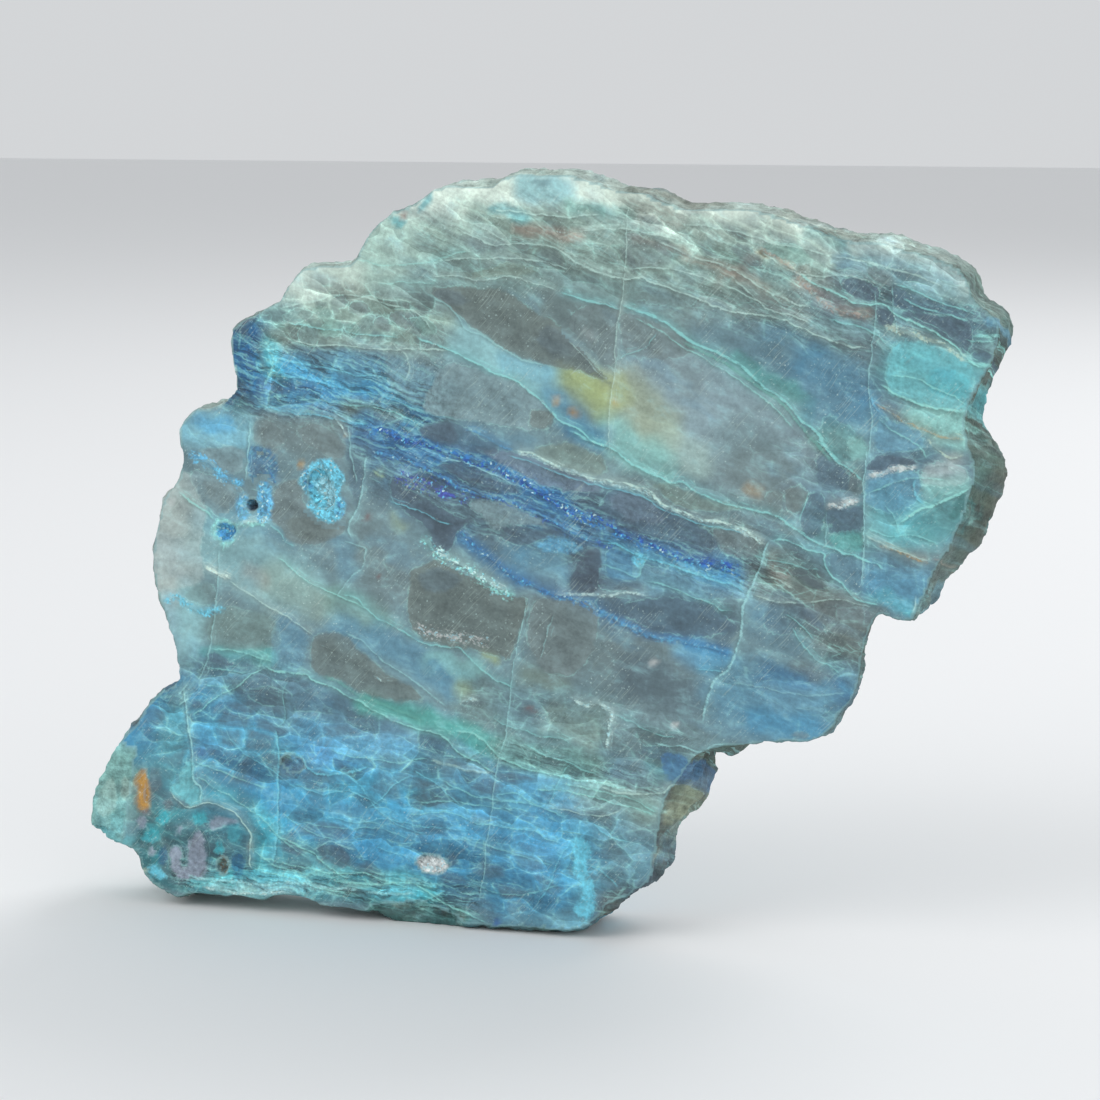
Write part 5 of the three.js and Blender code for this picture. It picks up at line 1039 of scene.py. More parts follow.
class ShaderTree:
    """A material's node tree, built by calls."""

    def __init__(self, name: str) -> None:
        """Makes an empty material.

        Args:
            name: The material's name.
        """
        self.material = bpy.data.materials.new(name)
        self.material.use_nodes = True
        self.material.node_tree.nodes.clear()

    def node(
        self,
        kind: str,
        settings: Mapping[str, Any],
        inputs: Mapping[Union[str, int], Any],
        output: Union[str, int] = 0,
    ) -> Socket:
        """Adds one node.

        Args:
            kind: The node's type.
            settings: Its properties, which are set first.
            inputs: Values or sockets for its inputs, by name, identifier or number.
            output: Which output to return.

        Returns:
            The chosen output, or that input of a node that has no output.
        """
        made = self.material.node_tree.nodes.new(kind)
        for key, value in settings.items():
            setattr(made, key, value)
        for key, value in inputs.items():
            target = self._find(made.inputs, key)
            if isinstance(value, Socket):
                self.material.node_tree.links.new(value.socket, target)
            else:
                target.default_value = value
        return Socket(self, self._find(made.outputs if made.outputs else made.inputs, output))

    @staticmethod
    def _find(sockets: Any, key: Union[str, int]) -> bpy.types.NodeSocket:
        """Finds one of a node's sockets.

        Args:
            sockets: The node's inputs or outputs.
            key: The socket's number, identifier or name.

        Returns:
            The socket.
        """
        if isinstance(key, int):
            return sockets[key]
        by_identifier = [socket for socket in sockets if socket.identifier == key]
        return by_identifier[0] if by_identifier else sockets[key]

    def attribute(self, name: str, output: str) -> Socket:
        """Reads one of the mesh's attributes."""
        return self.node("ShaderNodeAttribute", {"attribute_name": name}, {}, output)

    def tint(self, layer: str) -> tuple[Socket, Socket]:
        """Reads the colour of a layer of markings, and how sugary it is."""
        colour = self.attribute(layer + "_tint", "Color")
        return colour, colour.beside("Alpha")

    def split(self, vector: Socket) -> tuple[Socket, Socket, Socket]:
        """Splits a vector into its three values."""
        first = self.node("ShaderNodeSeparateXYZ", {}, {0: vector})
        return first, first.beside("Y"), first.beside("Z")

    def join(self, x: Number, y: Number, z: Number) -> Socket:
        """Makes a vector of three values."""
        return self.node("ShaderNodeCombineXYZ", {}, {0: x, 1: y, 2: z})

    def vector(self, operation: str, first: Any, second: Any) -> Socket:
        """Adds a Vector Math node of two vectors."""
        return self.node("ShaderNodeVectorMath", {"operation": operation}, {0: first, 1: second})

    def turned(self, vector: Socket, angle: float) -> Socket:
        """Turns a vector about the third axis by an angle in radians."""
        about = {"rotation_type": "Z_AXIS"}
        return self.node("ShaderNodeVectorRotate", about, {"Vector": vector, "Angle": angle})

    def scaled(self, colour: Socket, factor: Number) -> Socket:
        """Makes a colour brighter or darker by a factor."""
        return self.node("ShaderNodeVectorMath", {"operation": "SCALE"}, {0: colour, "Scale": factor})

    def lit(self, colour: Socket) -> Socket:
        """The pale colour of a healed crack in stone of this colour."""
        values = {0: colour, 1: (0.82, 0.66, 0.62), 2: (0.165, 0.37, 0.345)}
        return self.node("ShaderNodeVectorMath", {"operation": "MULTIPLY_ADD"}, values)

    def mix(self, first: Any, second: Any, factor: Number, blend: str = "MIX") -> Socket:
        """Mixes two colours.

        Args:
            first: The colour at a factor of 0.
            second: The colour at a factor of 1.
            factor: The share of the second colour.
            blend: The way of mixing.

        Returns:
            The mixed colour.
        """
        return self.node(
            "ShaderNodeMix",
            {"data_type": "RGBA", "blend_type": blend, "clamp_factor": True},
            {"Factor_Float": factor, "A_Color": first, "B_Color": second},
            "Result_Color",
        )

    def noise(
        self, place: Socket, periods: tuple[float, ...], detail: float, rough: float, shift: float = 0.0
    ) -> Socket:
        """Adds cloudy noise from 0 to 1.

        Args:
            place: The pattern coordinates in millimetres.
            periods: The size of a cloud along two or three of them.
            detail: The number of finer layers.
            rough: How strong the finer layers are.
            shift: Moves the pattern so that two noises differ.

        Returns:
            The noise.
        """
        sizes = (*periods, 1.0)[:3]
        moved = self.vector("ADD", self.vector("DIVIDE", place, sizes), (shift, shift * 1.7, shift * 0.6))
        return self.node(
            "ShaderNodeTexNoise",
            {"noise_dimensions": f"{len(periods)}D"},
            {"Vector": moved, "Scale": 1.0, "Detail": detail, "Roughness": rough},
            "Fac",
        )

    def cells(self, place: Socket, size: Point, feature: str, output: str) -> Socket:
        """Adds a pattern of irregular cells.

        Args:
            place: The pattern coordinates in millimetres.
            size: The size of a cell along the first two of them.
            feature: What the pattern measures.
            output: Which output to return.

        Returns:
            The pattern.
        """
        return self.node(
            "ShaderNodeTexVoronoi",
            {"voronoi_dimensions": "2D", "feature": feature},
            {"Vector": self.vector("DIVIDE", place, (*size, 1.0)), "Scale": 1.0, "Randomness": 1.0},
            output,
        )

    def surface(self, inputs: Mapping[str, Any]) -> None:
        """Links a principled shader with these inputs to the material's output."""
        shader = self.node("ShaderNodeBsdfPrincipled", {}, inputs)
        self.node("ShaderNodeOutputMaterial", {}, {"Surface": shader})


@dataclass(frozen=True)
class StoneFinish:
    """The satin polished stone, its sawn back and its dull rim.

    Args:
        polish: Roughness of the polished face.
        sawn: Roughness of the back.
        rind: Roughness of the rim.
        wear: How much the roughness changes over the faces.
        fleck: Size in millimetres of the crystals in the sugary veins.
        scratch_angle: The direction of the polishing scratches, in degrees.
        cast: The faint tint of the whole stone.
    """

    polish: float = 0.36
    sawn: float = 0.5
    rind: float = 0.75
    wear: float = 0.2
    fleck: float = 0.26
    scratch_angle: float = -48.0
    cast: tuple[float, float, float] = (0.89, 0.985, 0.985)

    def material(self) -> bpy.types.Material:
        """Builds the stone's material."""
        return StoneShader(self).material()


class StoneShader:
    """Builds the stone's material over the attributes that the markings store on the mesh."""

    def __init__(self, finish: StoneFinish) -> None:
        """Makes the places and noises that every step reads.

        Args:
            finish: The finish to build.
        """
        self.finish = finish
        self.tree = tree = ShaderTree("chrysocolla")
        self.place = tree.scaled(tree.node("ShaderNodeTexCoord", {}, {}, "Object"), 1 / MM)
        x, z, self.crag = tree.split(tree.attribute("pattern", "Vector"))
        rise = z - 45.0
        self.flat = tree.join(x, z, 0.0)
        self.banded = tree.join(x - rise * 0.3, rise + x * 0.3 + x * x * 0.0012 + x * rise * 0.003, 0.0)
        self.streaks, self.net, self.rim = tree.split(tree.attribute("traits", "Vector"))
        self.stone = 1 - self.rim
        self.cloud = tree.noise(self.banded, (3.4, 1.8), 4.0, 0.6, 3.1)
        self.clumps = tree.noise(self.banded, (1.7, 0.8), 4.0, 0.7, 4.4)
        self.fine = tree.noise(self.flat, (0.6, 0.6), 3.0, 0.65, 7.7)
        self.jitter = tree.noise(self.flat, (1.7, 1.5), 2.0, 0.45, 1.3)
        # Fine noise that gives the rim and face their bump, and that also darkens the rim's colour in the
        # bump's pits as painted shade
        self.grit_and_pit_shade = tree.noise(self.place, (0.4, 0.4, 0.4), 2.0, 0.6, 9.0)
        crystals = tree.cells(self.flat, (finish.fleck, finish.fleck), "F1", "Color")
        self.pick, self.level, _ = tree.split(crystals)

    def material(self) -> bpy.types.Material:
        """Lays the steps over each other and links the shader.

        Returns:
            The material.
        """
        tree, finish, rim, stone = self.tree, self.finish, self.rim, self.stone
        colour = self._streaks(self._facets(self._clouds()))
        for layer in LENS_LAYERS:
            colour = self._lens(colour, layer)
        for layer in reversed(VEIN_LAYERS):
            colour = self._vein(colour, layer)
        colour = self._marks(colour)
        colour = tree.scaled(colour, 1 + (self.fine - 0.5) * (self.streaks * 0.7 + self.net * 0.34))
        # Painted highlight: a thin pale cyan line along the edge where the polished face meets the rim
        colour = tree.mix(colour, M.PALE_CYAN.rgba, rim * stone * 4.0 * 0.4)
        # Painted shade in the rim's pits: the rim is darker where its fine bump sinks, and is also mottled
        # by the crag noise
        colour = tree.scaled(colour, 1 - rim * (0.66 - self.crag * 0.45 - self.grit_and_pit_shade * 0.75))
        colour = tree.vector("MULTIPLY", colour, finish.cast)

        back = tree.split(self.place)[1].step(3.0, 6.0)
        face = finish.polish + back * (finish.sawn - finish.polish) + (self.cloud - 0.5) * finish.wear
        relief = self.grit_and_pit_shade * (rim * 0.34 + stone * 0.012)
        normal = tree.node("ShaderNodeBump", {}, {"Strength": 1.0, "Distance": MM, "Height": relief})
        tree.surface({
            "Base Color": colour,
            "Roughness": face * stone + rim * finish.rind,
            "Normal": normal,
            "IOR": 1.5,
        })
        return tree.material

    def _clouds(self) -> Socket:
        """Mottles the ground with soft clouds.

        Returns:
            The mottled colour.
        """
        tree = self.tree
        broad = tree.noise(self.banded, (13, 6), 3.0, 0.6)
        ground = tree.attribute("ground", "Color")
        milk = tree.mix(ground, M.PALE_CYAN.rgba, self.cloud.step(0.52, 0.78) * 0.3)
        tinted = tree.mix(milk, M.FIELD_BLUE.rgba, broad.step(0.55, 0.72) * 0.14)
        return tree.scaled(tinted, 0.2 + self.cloud * 0.72 + broad * 0.4 + self.fine * 0.5)

    def _facets(self, colour: Socket) -> Socket:
        """Breaks the stone into shards between fine healed cracks, each with a random tone and painted
        shade: lighter at its top, darker inside.

        Args:
            colour: The colour below.

        Returns:
            The colour with the shards.
        """
        tree, net = self.tree, self.net
        bend = tree.noise(self.banded, (6.5, 5.0), 1.0, 0.5, 2.2)
        sway = tree.noise(self.banded, (4.5, 3.5), 1.0, 0.5, 6.9)
        nudge = (self.jitter - 0.5) * 0.35
        shift = tree.join((bend - 0.5) * 1.6 + nudge, (sway - 0.5) * 1.0 + nudge, 0.0)
        warped = tree.vector("ADD", self.banded, shift)
        for size, line, strength in (
            ((8.0, 3.8), 0.022, 0.14 + self.streaks * 0.4 + net * 0.6),
            ((4.4, 2.1), 0.034, net * 0.85),
            ((2.0, 1.1), 0.04, net * net * 0.45),
        ):
            shade = tree.cells(warped, size, "F1", "Color")
            light, dusk, _ = tree.split(shade)
            scaled = tree.vector("DIVIDE", warped, (*size, 1.0))
            slope = tree.split(tree.vector("SUBTRACT", scaled, shade.beside("Position")))[1]
            border = tree.cells(warped, size, "DISTANCE_TO_EDGE", "Distance")
            inner = border.step(0.0, 0.25)
            halo = border.step(0.22, 0.0)
            # Painted shade over each shard's random tone (light): lighter towards its top (slope) and darker
            # inside its border (inner)
            tone = (light - 0.5) * 0.84 + slope * 0.26 - inner * 0.16
            colour = tree.scaled(colour, 1 + tone * strength)
            colour = tree.mix(colour, tree.lit(colour), halo * strength * 0.08)
            colour = tree.mix(colour, M.DUSK.rgba, dusk.step(0.62, 0.88) * inner * strength * 0.6)
            broken = self.cloud.step(0.38, 0.58) * self.jitter.step(0.34, 0.54)
            crack = border.step(line * 1.5, line * 0.4) * broken
            colour = tree.mix(colour, tree.lit(colour), crack * strength * 0.85)
        return colour

    def _streaks(self, colour: Socket) -> Socket:
        """Draws fine light and dark lines along the bands, and hairs across them.

        Args:
            colour: The colour below.

        Returns:
            The colour with the lines.
        """
        tree, cloud, strength = self.tree, self.cloud, self.streaks
        warped = tree.vector("ADD", self.banded, tree.join(0.0, (cloud - 0.5) * 1.4, 0.0))
        line = tree.noise(warped, (5, 0.42), 2.0, 0.55, 5.5)
        colour = tree.mix(colour, tree.lit(colour), line.step(0.54, 0.68) * strength * 0.75)
        colour = tree.scaled(colour, 1 - line.step(0.48, 0.32) * strength * 0.55)
        for angle, shift in ((0.16, 8.1), (-0.3, 14.2)):
            thread = tree.noise(tree.turned(warped, angle), (11, 2.6), 0.0, 0.5, shift)
            hair = abs(thread - 0.5).step(0.016, 0.004) * cloud.step(0.44, 0.6)
            colour = tree.mix(colour, tree.lit(colour), hair * (0.04 + strength * 0.3 + self.net * 0.45))
        return colour

    def _sugar(self, tint: Socket, grain: Socket) -> Socket:
        """Breaks a colour into light and dark crystals.

        Args:
            tint: The colour.
            grain: How sugary it is.

        Returns:
            The colour of the crystals.
        """
        cyan = self.tree.mix(tint, M.SKY.rgba, self.pick.step(0.72, 0.76) * grain * 0.6)
        white = self.tree.mix(cyan, M.CHALK.rgba, self.pick.step(0.92, 0.95) * grain * 0.75)
        return self.tree.scaled(white, 1 + (self.level - 0.55) * grain * 0.9)

    def _lens(self, colour: Socket, layer: str) -> Socket:
        """Lays one layer of panes over the colour, each darker towards its middle by painted shade.

        Args:
            colour: The colour below.
            layer: The name of the mesh's attributes.

        Returns:
            The colour with the panes.
        """
        tree, cloud, fine = self.tree, self.cloud, self.fine
        inside, strength, film = tree.split(tree.attribute(layer, "Vector"))
        tint, grain = tree.tint(layer)
        wavy = inside + (self.jitter - 0.5) * 0.7 + (fine - 0.5) * 0.7
        # Painted shade: a pane is lighter at its border and darker towards its middle, fully so from 2.6 mm
        # inside it
        deep = wavy.step(0.0, 2.6)
        tone = (cloud * 1.14 + fine * 0.76 + 0.06) * (1.1 - deep * 0.22)
        toned = tree.scaled(self._sugar(tint, grain), tone)
        filled = tree.mix(colour, toned, wavy.step(-0.3, 0.4) * strength)
        border = abs(wavy).step(0.13, 0.02) * cloud.step(0.38, 0.6)
        return tree.mix(filled, tree.lit(filled), border * film)

    def _vein(self, colour: Socket, layer: str) -> Socket:
        """Lays one layer of veins over the colour, each with a thin strand and a shadow beside it.

        Args:
            colour: The colour below.
            layer: The name of the mesh's attributes.

        Returns:
            The colour with the veins.
        """
        tree, clumps = self.tree, self.clumps
        offset, half, strength = tree.split(tree.attribute(layer, "Vector"))
        tint, grain = tree.tint(layer)
        wavy = offset + (self.jitter - 0.5) * 0.4 + (self.fine - 0.5) * 0.24
        width = half * (0.05 + clumps * 1.1) * (1 + grain * (self.level * 1.8 - 0.6))
        core = abs(wavy).step(width + 0.05, width * 0.4) * (1 - grain * clumps.step(0.56, 0.44))
        thin = clumps.step(0.34, 0.56, 0.25, 1.0)
        strand = abs(wavy - 0.55).step(0.09, 0.02) * self.cloud.step(0.5, 0.62) * 0.5
        shadow = wavy.step(-0.6, -0.12) * wavy.step(0.0, -0.12) * 0.3
        local = tree.mix(tint, tree.lit(colour), 0.45 - grain * 0.45)
        shaded = tree.scaled(colour, 1 - shadow * strength)
        return tree.mix(shaded, self._sugar(local, grain), (core * thin).at_least(strand) * strength)

    def _marks(self, colour: Socket) -> Socket:
        """Adds white specks, fine polishing scratches and dust in the pores.

        Args:
            colour: The colour below.

        Returns:
            The colour with the marks.
        """
        tree, flat, stone = self.tree, self.flat, self.stone
        distance = tree.cells(flat, (1.2, 1.2), "F1", "Distance")
        chance = tree.split(tree.cells(flat, (1.2, 1.2), "F1", "Color"))[1]
        speck = (distance + (self.fine - 0.5) * 0.12).step(0.02 + chance * 0.12, 0.0) * stone
        zone = tree.noise(flat, (7, 7), 2.0, 0.6, 8.8)
        grains = tree.noise(flat, (0.42, 0.36), 2.0, 0.6, 12.3)
        dust = grains.step(0.66, 0.76) * zone.step(0.36, 0.6) * stone
        turned = tree.turned(flat, math.radians(self.finish.scratch_angle))
        hair = tree.noise(turned, (5.0, 0.16), 1.0, 0.5, 6.1)
        scratch = hair.step(0.6, 0.78) * zone.step(0.42, 0.6) * stone
        colour = tree.mix(colour, M.CHALK.rgba, speck * zone.step(0.44, 0.6) * 0.55)
        colour = tree.mix(colour, M.SKIN_GREY.rgba, scratch * 0.25)
        return tree.mix(colour, M.CHALK.rgba, dust * 0.3)


def smooth_path(path: Path, closed: bool, parts: int = 4) -> np.ndarray:
    """Rounds a path with a curve through its points.

    Args:
        path: The x and z of each point in turn.
        closed: Whether the last point joins the first.
        parts: The number of steps between two points.

    Returns:
        The points of the curve, one row each.
    """
    points = np.array(path, float).reshape(-1, 2)
    if len(points) < 3:
        return points
    if closed:
        ring = np.vstack([points[-1:], points, points[:2]])
    else:
        ring = np.vstack([2 * points[0] - points[1], points, 2 * points[-1] - points[-2]])
    steps = np.arange(parts)[:, None] / parts
    curve = []
    for before, start, end, after in zip(ring, ring[1:], ring[2:], ring[3:]):
        curve.append(0.5 * (2 * start + (end - before) * steps
                            + (2 * before - 5 * start + 4 * end - after) * steps**2
                            + (3 * start - before - 3 * end + after) * steps**3))
    rows = np.vstack(curve)
    return np.vstack([rows, points[:1] if closed else points[-1:]])


def measure(points: np.ndarray, line: np.ndarray) -> tuple[np.ndarray, np.ndarray, np.ndarray]:
    """Measures points from a line.

    Args:
        points: The points, one row each.
        line: The line's points, one row each.

    Returns:
        Each point's distance, its distance with a sign for the side, and how far along the line it lies.
    """
    if len(line) == 1:
        gap = np.linalg.norm(points - line[0], axis=1)
        return gap, gap, gap
    start, run = line[:-1], np.diff(line, axis=0)
    length = np.maximum(np.linalg.norm(run, axis=1), TINY)
    begin = np.concatenate([[0.0], np.cumsum(length)[:-1]])
    offset = points[:, None, :] - start[None]
    share = np.clip((offset * run).sum(2) / length**2, 0, 1)
    gaps = ((offset - share[..., None] * run) ** 2).sum(2)
    best = gaps.argmin(1)
    row = np.arange(len(points))
    gap = np.sqrt(gaps[row, best])
    side = run[best, 0] * offset[row, best, 1] - run[best, 1] * offset[row, best, 0]
    along = begin[best] + share[row, best] * length[best]
    return gap, np.where(side < 0, -gap, gap), along


def depth_inside(points: np.ndarray, outline: np.ndarray) -> np.ndarray:
    """Measures how deep points lie inside a closed outline.

    Args:
        points: The points, one row each.
        outline: The outline, whose last point is its first.

    Returns:
        Each point's distance from the outline, below 0 for a point outside.
    """
    x, z = points[:, 0][:, None], points[:, 1][:, None]
    x0, z0 = outline[:-1, 0], outline[:-1, 1]
    x1, z1 = outline[1:, 0], outline[1:, 1]
    spans = (z0 > z) != (z1 > z)
    slope = (x1 - x0) / np.where(z1 == z0, TINY, z1 - z0)
    crossings = (spans & (x < x0 + (z - z0) * slope)).sum(1)
    gap = measure(points, outline)[0]
    return np.where(crossings % 2 == 1, gap, -gap)


def near(places: np.ndarray, line: np.ndarray, margin: float) -> np.ndarray:
    """Picks the places that lie inside the box of a line, or outside it by less than the margin."""
    low, high = line.min(0) - margin, line.max(0) + margin
    return np.nonzero(((places > low) & (places < high)).all(1))[0]


def smoothstep(value: np.ndarray, start: float, end: float) -> np.ndarray:
    """Turns a value smoothly from 0 at the start to 1 at the end."""
    share = np.clip((value - start) / (end - start), 0, 1)
    return share * share * (3 - 2 * share)


def taper(along: np.ndarray, line: np.ndarray) -> np.ndarray:
    """Lets a vein run out: 0 at both ends of its line, and 1 further along."""
    total = np.linalg.norm(np.diff(line, axis=0), axis=1).sum()
    return smoothstep(along, 0, 0.9) * smoothstep(total - along, 0, 0.9)


@dataclass
class Markings:
    """Works out where the stone's markings lie on a mesh and stores them as its attributes.

    Args:
        mesh: The mesh.
        rim: 1 for each vertex on the rim, and 0 on the faces.
        reach: How far from a vein, in millimetres, its attributes reach.
        border: How far outside a pane its attributes reach.
        dip: How far the bands shift in x and z from the face to the back.
        sway: How much that shift varies.
    """

    mesh: bpy.types.Mesh
    rim: np.ndarray
    reach: float = 1.7
    border: float = 0.9
    dip: Point = (2.5, -4.5)
    sway: float = 2.6
    where: np.ndarray = field(init=False)
    places: np.ndarray = field(init=False)
    corners: np.ndarray = field(init=False)
    centres: np.ndarray = field(init=False)
    face_of_corner: np.ndarray = field(init=False)

    def __post_init__(self) -> None:
        """Reads the mesh and works out where each vertex, corner and face lies in the pattern."""
        flat = np.empty(len(self.mesh.vertices) * 3)
        self.mesh.vertices.foreach_get("co", flat)
        self.where = flat.reshape(-1, 3) / MM
        self.places = self._pattern_places()
        loops = np.empty(len(self.mesh.loops), int)
        self.mesh.loops.foreach_get("vertex_index", loops)
        sizes = np.empty(len(self.mesh.polygons), int)
        self.mesh.polygons.foreach_get("loop_total", sizes)
        self.face_of_corner = np.repeat(np.arange(len(sizes)), sizes)
        self.corners = self.places[loops]
        sums = np.zeros((len(sizes), 2))
        np.add.at(sums, self.face_of_corner, self.corners)
        self.centres = sums / sizes[:, None]

    def store(self) -> None:
        """Stores all the markings."""
        self._store_ground()
        self._store_traits()
        self._store_veins()
        self._store_lenses()

    def _drift(self, scale: float) -> np.ndarray:
        """A noise vector for each vertex, by the size of its swells, the same in each run."""
        noise.seed_set(NOISE_SEED)
        return np.array([noise.noise_vector(Vector(row) / scale) for row in self.where])

    def _fractal(self, scale: float, shift: float, octaves: int) -> np.ndarray:
        """Rough noise for each vertex, by the size of its swells, a shift and its finer layers."""
        moved = [Vector(row) / scale + Vector((shift, 0, 0)) for row in self.where]
        return np.array([noise.fractal(place, 0.8, 2.1, octaves) for place in moved])

    def _pattern_places(self) -> np.ndarray:
        """Carries each vertex along the dip of the bands to the plane of the face.

        Returns:
            The x and z of each vertex in the pattern, in millimetres.
        """
        depth = np.clip((self.where[:, 1] - FACE_Y) / THICKNESS, 0, 1)[:, None]
        wander = 0.3 * self._drift(4.1) + 0.12 * self._drift(1.3)
        shift = depth * (np.array(self.dip) + self.sway * self._drift(21.0)[:, ::2])
        return self.where[:, ::2] - DATUM - shift + wander[:, ::2]

    def _store(self, name: str, kind: str, domain: str, values: np.ndarray) -> None:
        """Stores one attribute on the mesh.

        Args:
            name: The attribute's name.
            kind: The type of its values.
            domain: What carries them.
            values: The values, one row each.
        """
        attribute = self.mesh.attributes.new(name, kind, domain)
        key = "color" if kind == "FLOAT_COLOR" else "vector"
        attribute.data.foreach_set(key, values.astype(np.float32).ravel())

    def _store_ground(self) -> None:
        """Stores the ground colour: soft patches, a soft halo of each vein's colour with a painted glow on
        one side of it, and the weathered rim.
        """
        rim = self.rim
        colour = np.tile(M.GROUND.linear(), (len(self.places), 1))
        blend = self._drift(2.2)[:, ::2]
        self._paint(colour, self.places + 0.8 * blend, GROUND_STROKES, np.ones(len(colour)))
        for vein in VEINS:
            line = smooth_path(vein.path, False)
            index = near(self.places, line, self.reach)
            gap, side, along = measure(self.places[index], line)
            # Painted glow: each vein's colour also hazes out on one side of it, its left along its path,
            # which is above a vein drawn from left to right
            beside = smoothstep(side, self.reach, 0) * smoothstep(side, -0.1, 0.3)
            share = (0.24 * smoothstep(gap, 0.8, 0) + 0.16 * beside) * vein.strength * taper(along, line)
            colour[index] += (vein.mineral.linear() - colour[index]) * share[:, None]
        grey = colour.mean(1, keepdims=True)
        colour += (0.66 * colour + 0.26 * grey - colour) * rim[:, None]
        stains = ((M.RIND_BROWN, 0.0, 0.6), (M.RIND_PALE, 40.0, 0.45), (M.RIND_GREEN, 80.0, 0.4))
        for mineral, shift, share in stains:
            cover = smoothstep(self._fractal(3.4, shift, 4), 0.05, 0.45) * share * rim
            colour += (mineral.linear() - colour) * cover[:, None]
        self._paint(colour, self.where[:, ::2] - DATUM + 1.2 * blend, RIM_STROKES, rim)
        self._store("ground", "FLOAT_COLOR", "POINT", np.hstack([colour, np.ones((len(colour), 1))]))

    @staticmethod
    def _paint(
        colour: np.ndarray, places: np.ndarray, strokes: Sequence[Stroke], cover: np.ndarray
    ) -> None:
        """Lays soft strokes over the vertices' colours.

        Args:
            colour: The colours, which are changed in place.
            places: The place of each vertex in the pattern.
            strokes: The strokes in drawing order.
            cover: How much of each stroke each vertex takes.
        """
        for stroke in strokes:
            line = smooth_path(stroke.path, False)
            index = near(places, line, stroke.half * (1 + stroke.soft))
            gap = measure(places[index], line)[0] / stroke.half
            share = smoothstep(gap, 1 + stroke.soft, 1 - stroke.soft) * stroke.strength * cover[index]
            colour[index] += (stroke.mineral.linear() - colour[index]) * share[:, None]

    def _store_traits(self) -> None:
        """Stores the strength of the streaks and the net, the rim, and the place in the pattern."""
        traits = np.zeros((len(self.places), 3))
        for weave in WEAVES:
            line = smooth_path(weave.path, False)
            index = near(self.places, line, weave.half * 1.6)
            share = smoothstep(measure(self.places[index], line)[0] / weave.half, 1.6, 0.5)
            traits[index, 0] = np.maximum(traits[index, 0], share * weave.streaks)
            traits[index, 1] = np.maximum(traits[index, 1], share * weave.cells)
        traits[:, 2] = self.rim
        self._store("traits", "FLOAT_VECTOR", "POINT", traits)
        crag = 0.5 + self._fractal(1.6, 0.0, 3)[:, None]
        self._store("pattern", "FLOAT_VECTOR", "POINT", np.hstack([self.places, crag]))

    def _store_veins(self) -> None:
        """Stores the two nearest veins of each face at its corners."""
        lines = [smooth_path(vein.path, False) for vein in VEINS]
        nearest = np.full((len(self.centres), 2), FAR)
        chosen = np.full((len(self.centres), 2), -1)
        for number, line in enumerate(lines):
            index = near(self.centres, line, self.reach)
            gap = measure(self.centres[index], line)[0]
            first = gap < nearest[index, 0]
            second = ~first & (gap < nearest[index, 1])
            moved = index[first]
            nearest[moved, 1], chosen[moved, 1] = nearest[moved, 0], chosen[moved, 0]
            nearest[moved, 0], chosen[moved, 0] = gap[first], number
            nearest[index[second], 1], chosen[index[second], 1] = gap[second], number
        chosen[nearest > self.reach] = -1

        def facts(number: int, places: np.ndarray) -> np.ndarray:
            """What one vein stores at these places."""
            _, offset, along = measure(places, lines[number])
            return VEINS[number].facts(offset, taper(along, lines[number]))

        self._store_layers(VEIN_LAYERS, chosen, VEINS, FAR, facts)

    def _store_lenses(self) -> None:
        """Stores the two uppermost panes of each face at its corners."""
        outlines = [smooth_path(lens.outline, True, 3) for lens in LENSES]
        chosen = np.full((len(self.centres), 2), -1)
        for number, outline in enumerate(outlines):
            index = near(self.centres, outline, self.border)
            hit = index[depth_inside(self.centres[index], outline) > -self.border]
            chosen[hit, 0] = chosen[hit, 1]
            chosen[hit, 1] = number

        def facts(number: int, places: np.ndarray) -> np.ndarray:
            """What one pane stores at these places."""
            return LENSES[number].facts(depth_inside(places, outlines[number]))

        self._store_layers(LENS_LAYERS, chosen, LENSES, -FAR, facts)

    def _store_layers(
        self,
        layers: Sequence[str],
        chosen: np.ndarray,
        items: Sequence[Union[Vein, Lens]],
        blank: float,
        facts: Callable[[int, np.ndarray], np.ndarray],
    ) -> None:
        """Stores the markings chosen for each face at its corners.

        Args:
            layers: The attributes' names, one for each column of the choice.
            chosen: The number of each face's marking in each layer, or -1.
            items: The markings.
            blank: The distance stored where there is none.
            facts: Works out a marking's three stored values at some places.
        """
        for rank, layer in enumerate(layers):
            values = np.tile([blank, 0.0, 0.0], (len(self.corners), 1))
            tints = np.zeros((len(self.corners), 4))
            pick = chosen[self.face_of_corner, rank]
            for number in np.unique(pick[pick >= 0]):
                index = np.nonzero(pick == number)[0]
                values[index] = facts(number, self.corners[index])
                tints[index] = (*items[number].mineral.linear(), items[number].grain)
            self._store(layer, "FLOAT_VECTOR", "CORNER", values)
            self._store(layer + "_tint", "FLOAT_COLOR", "CORNER", tints)


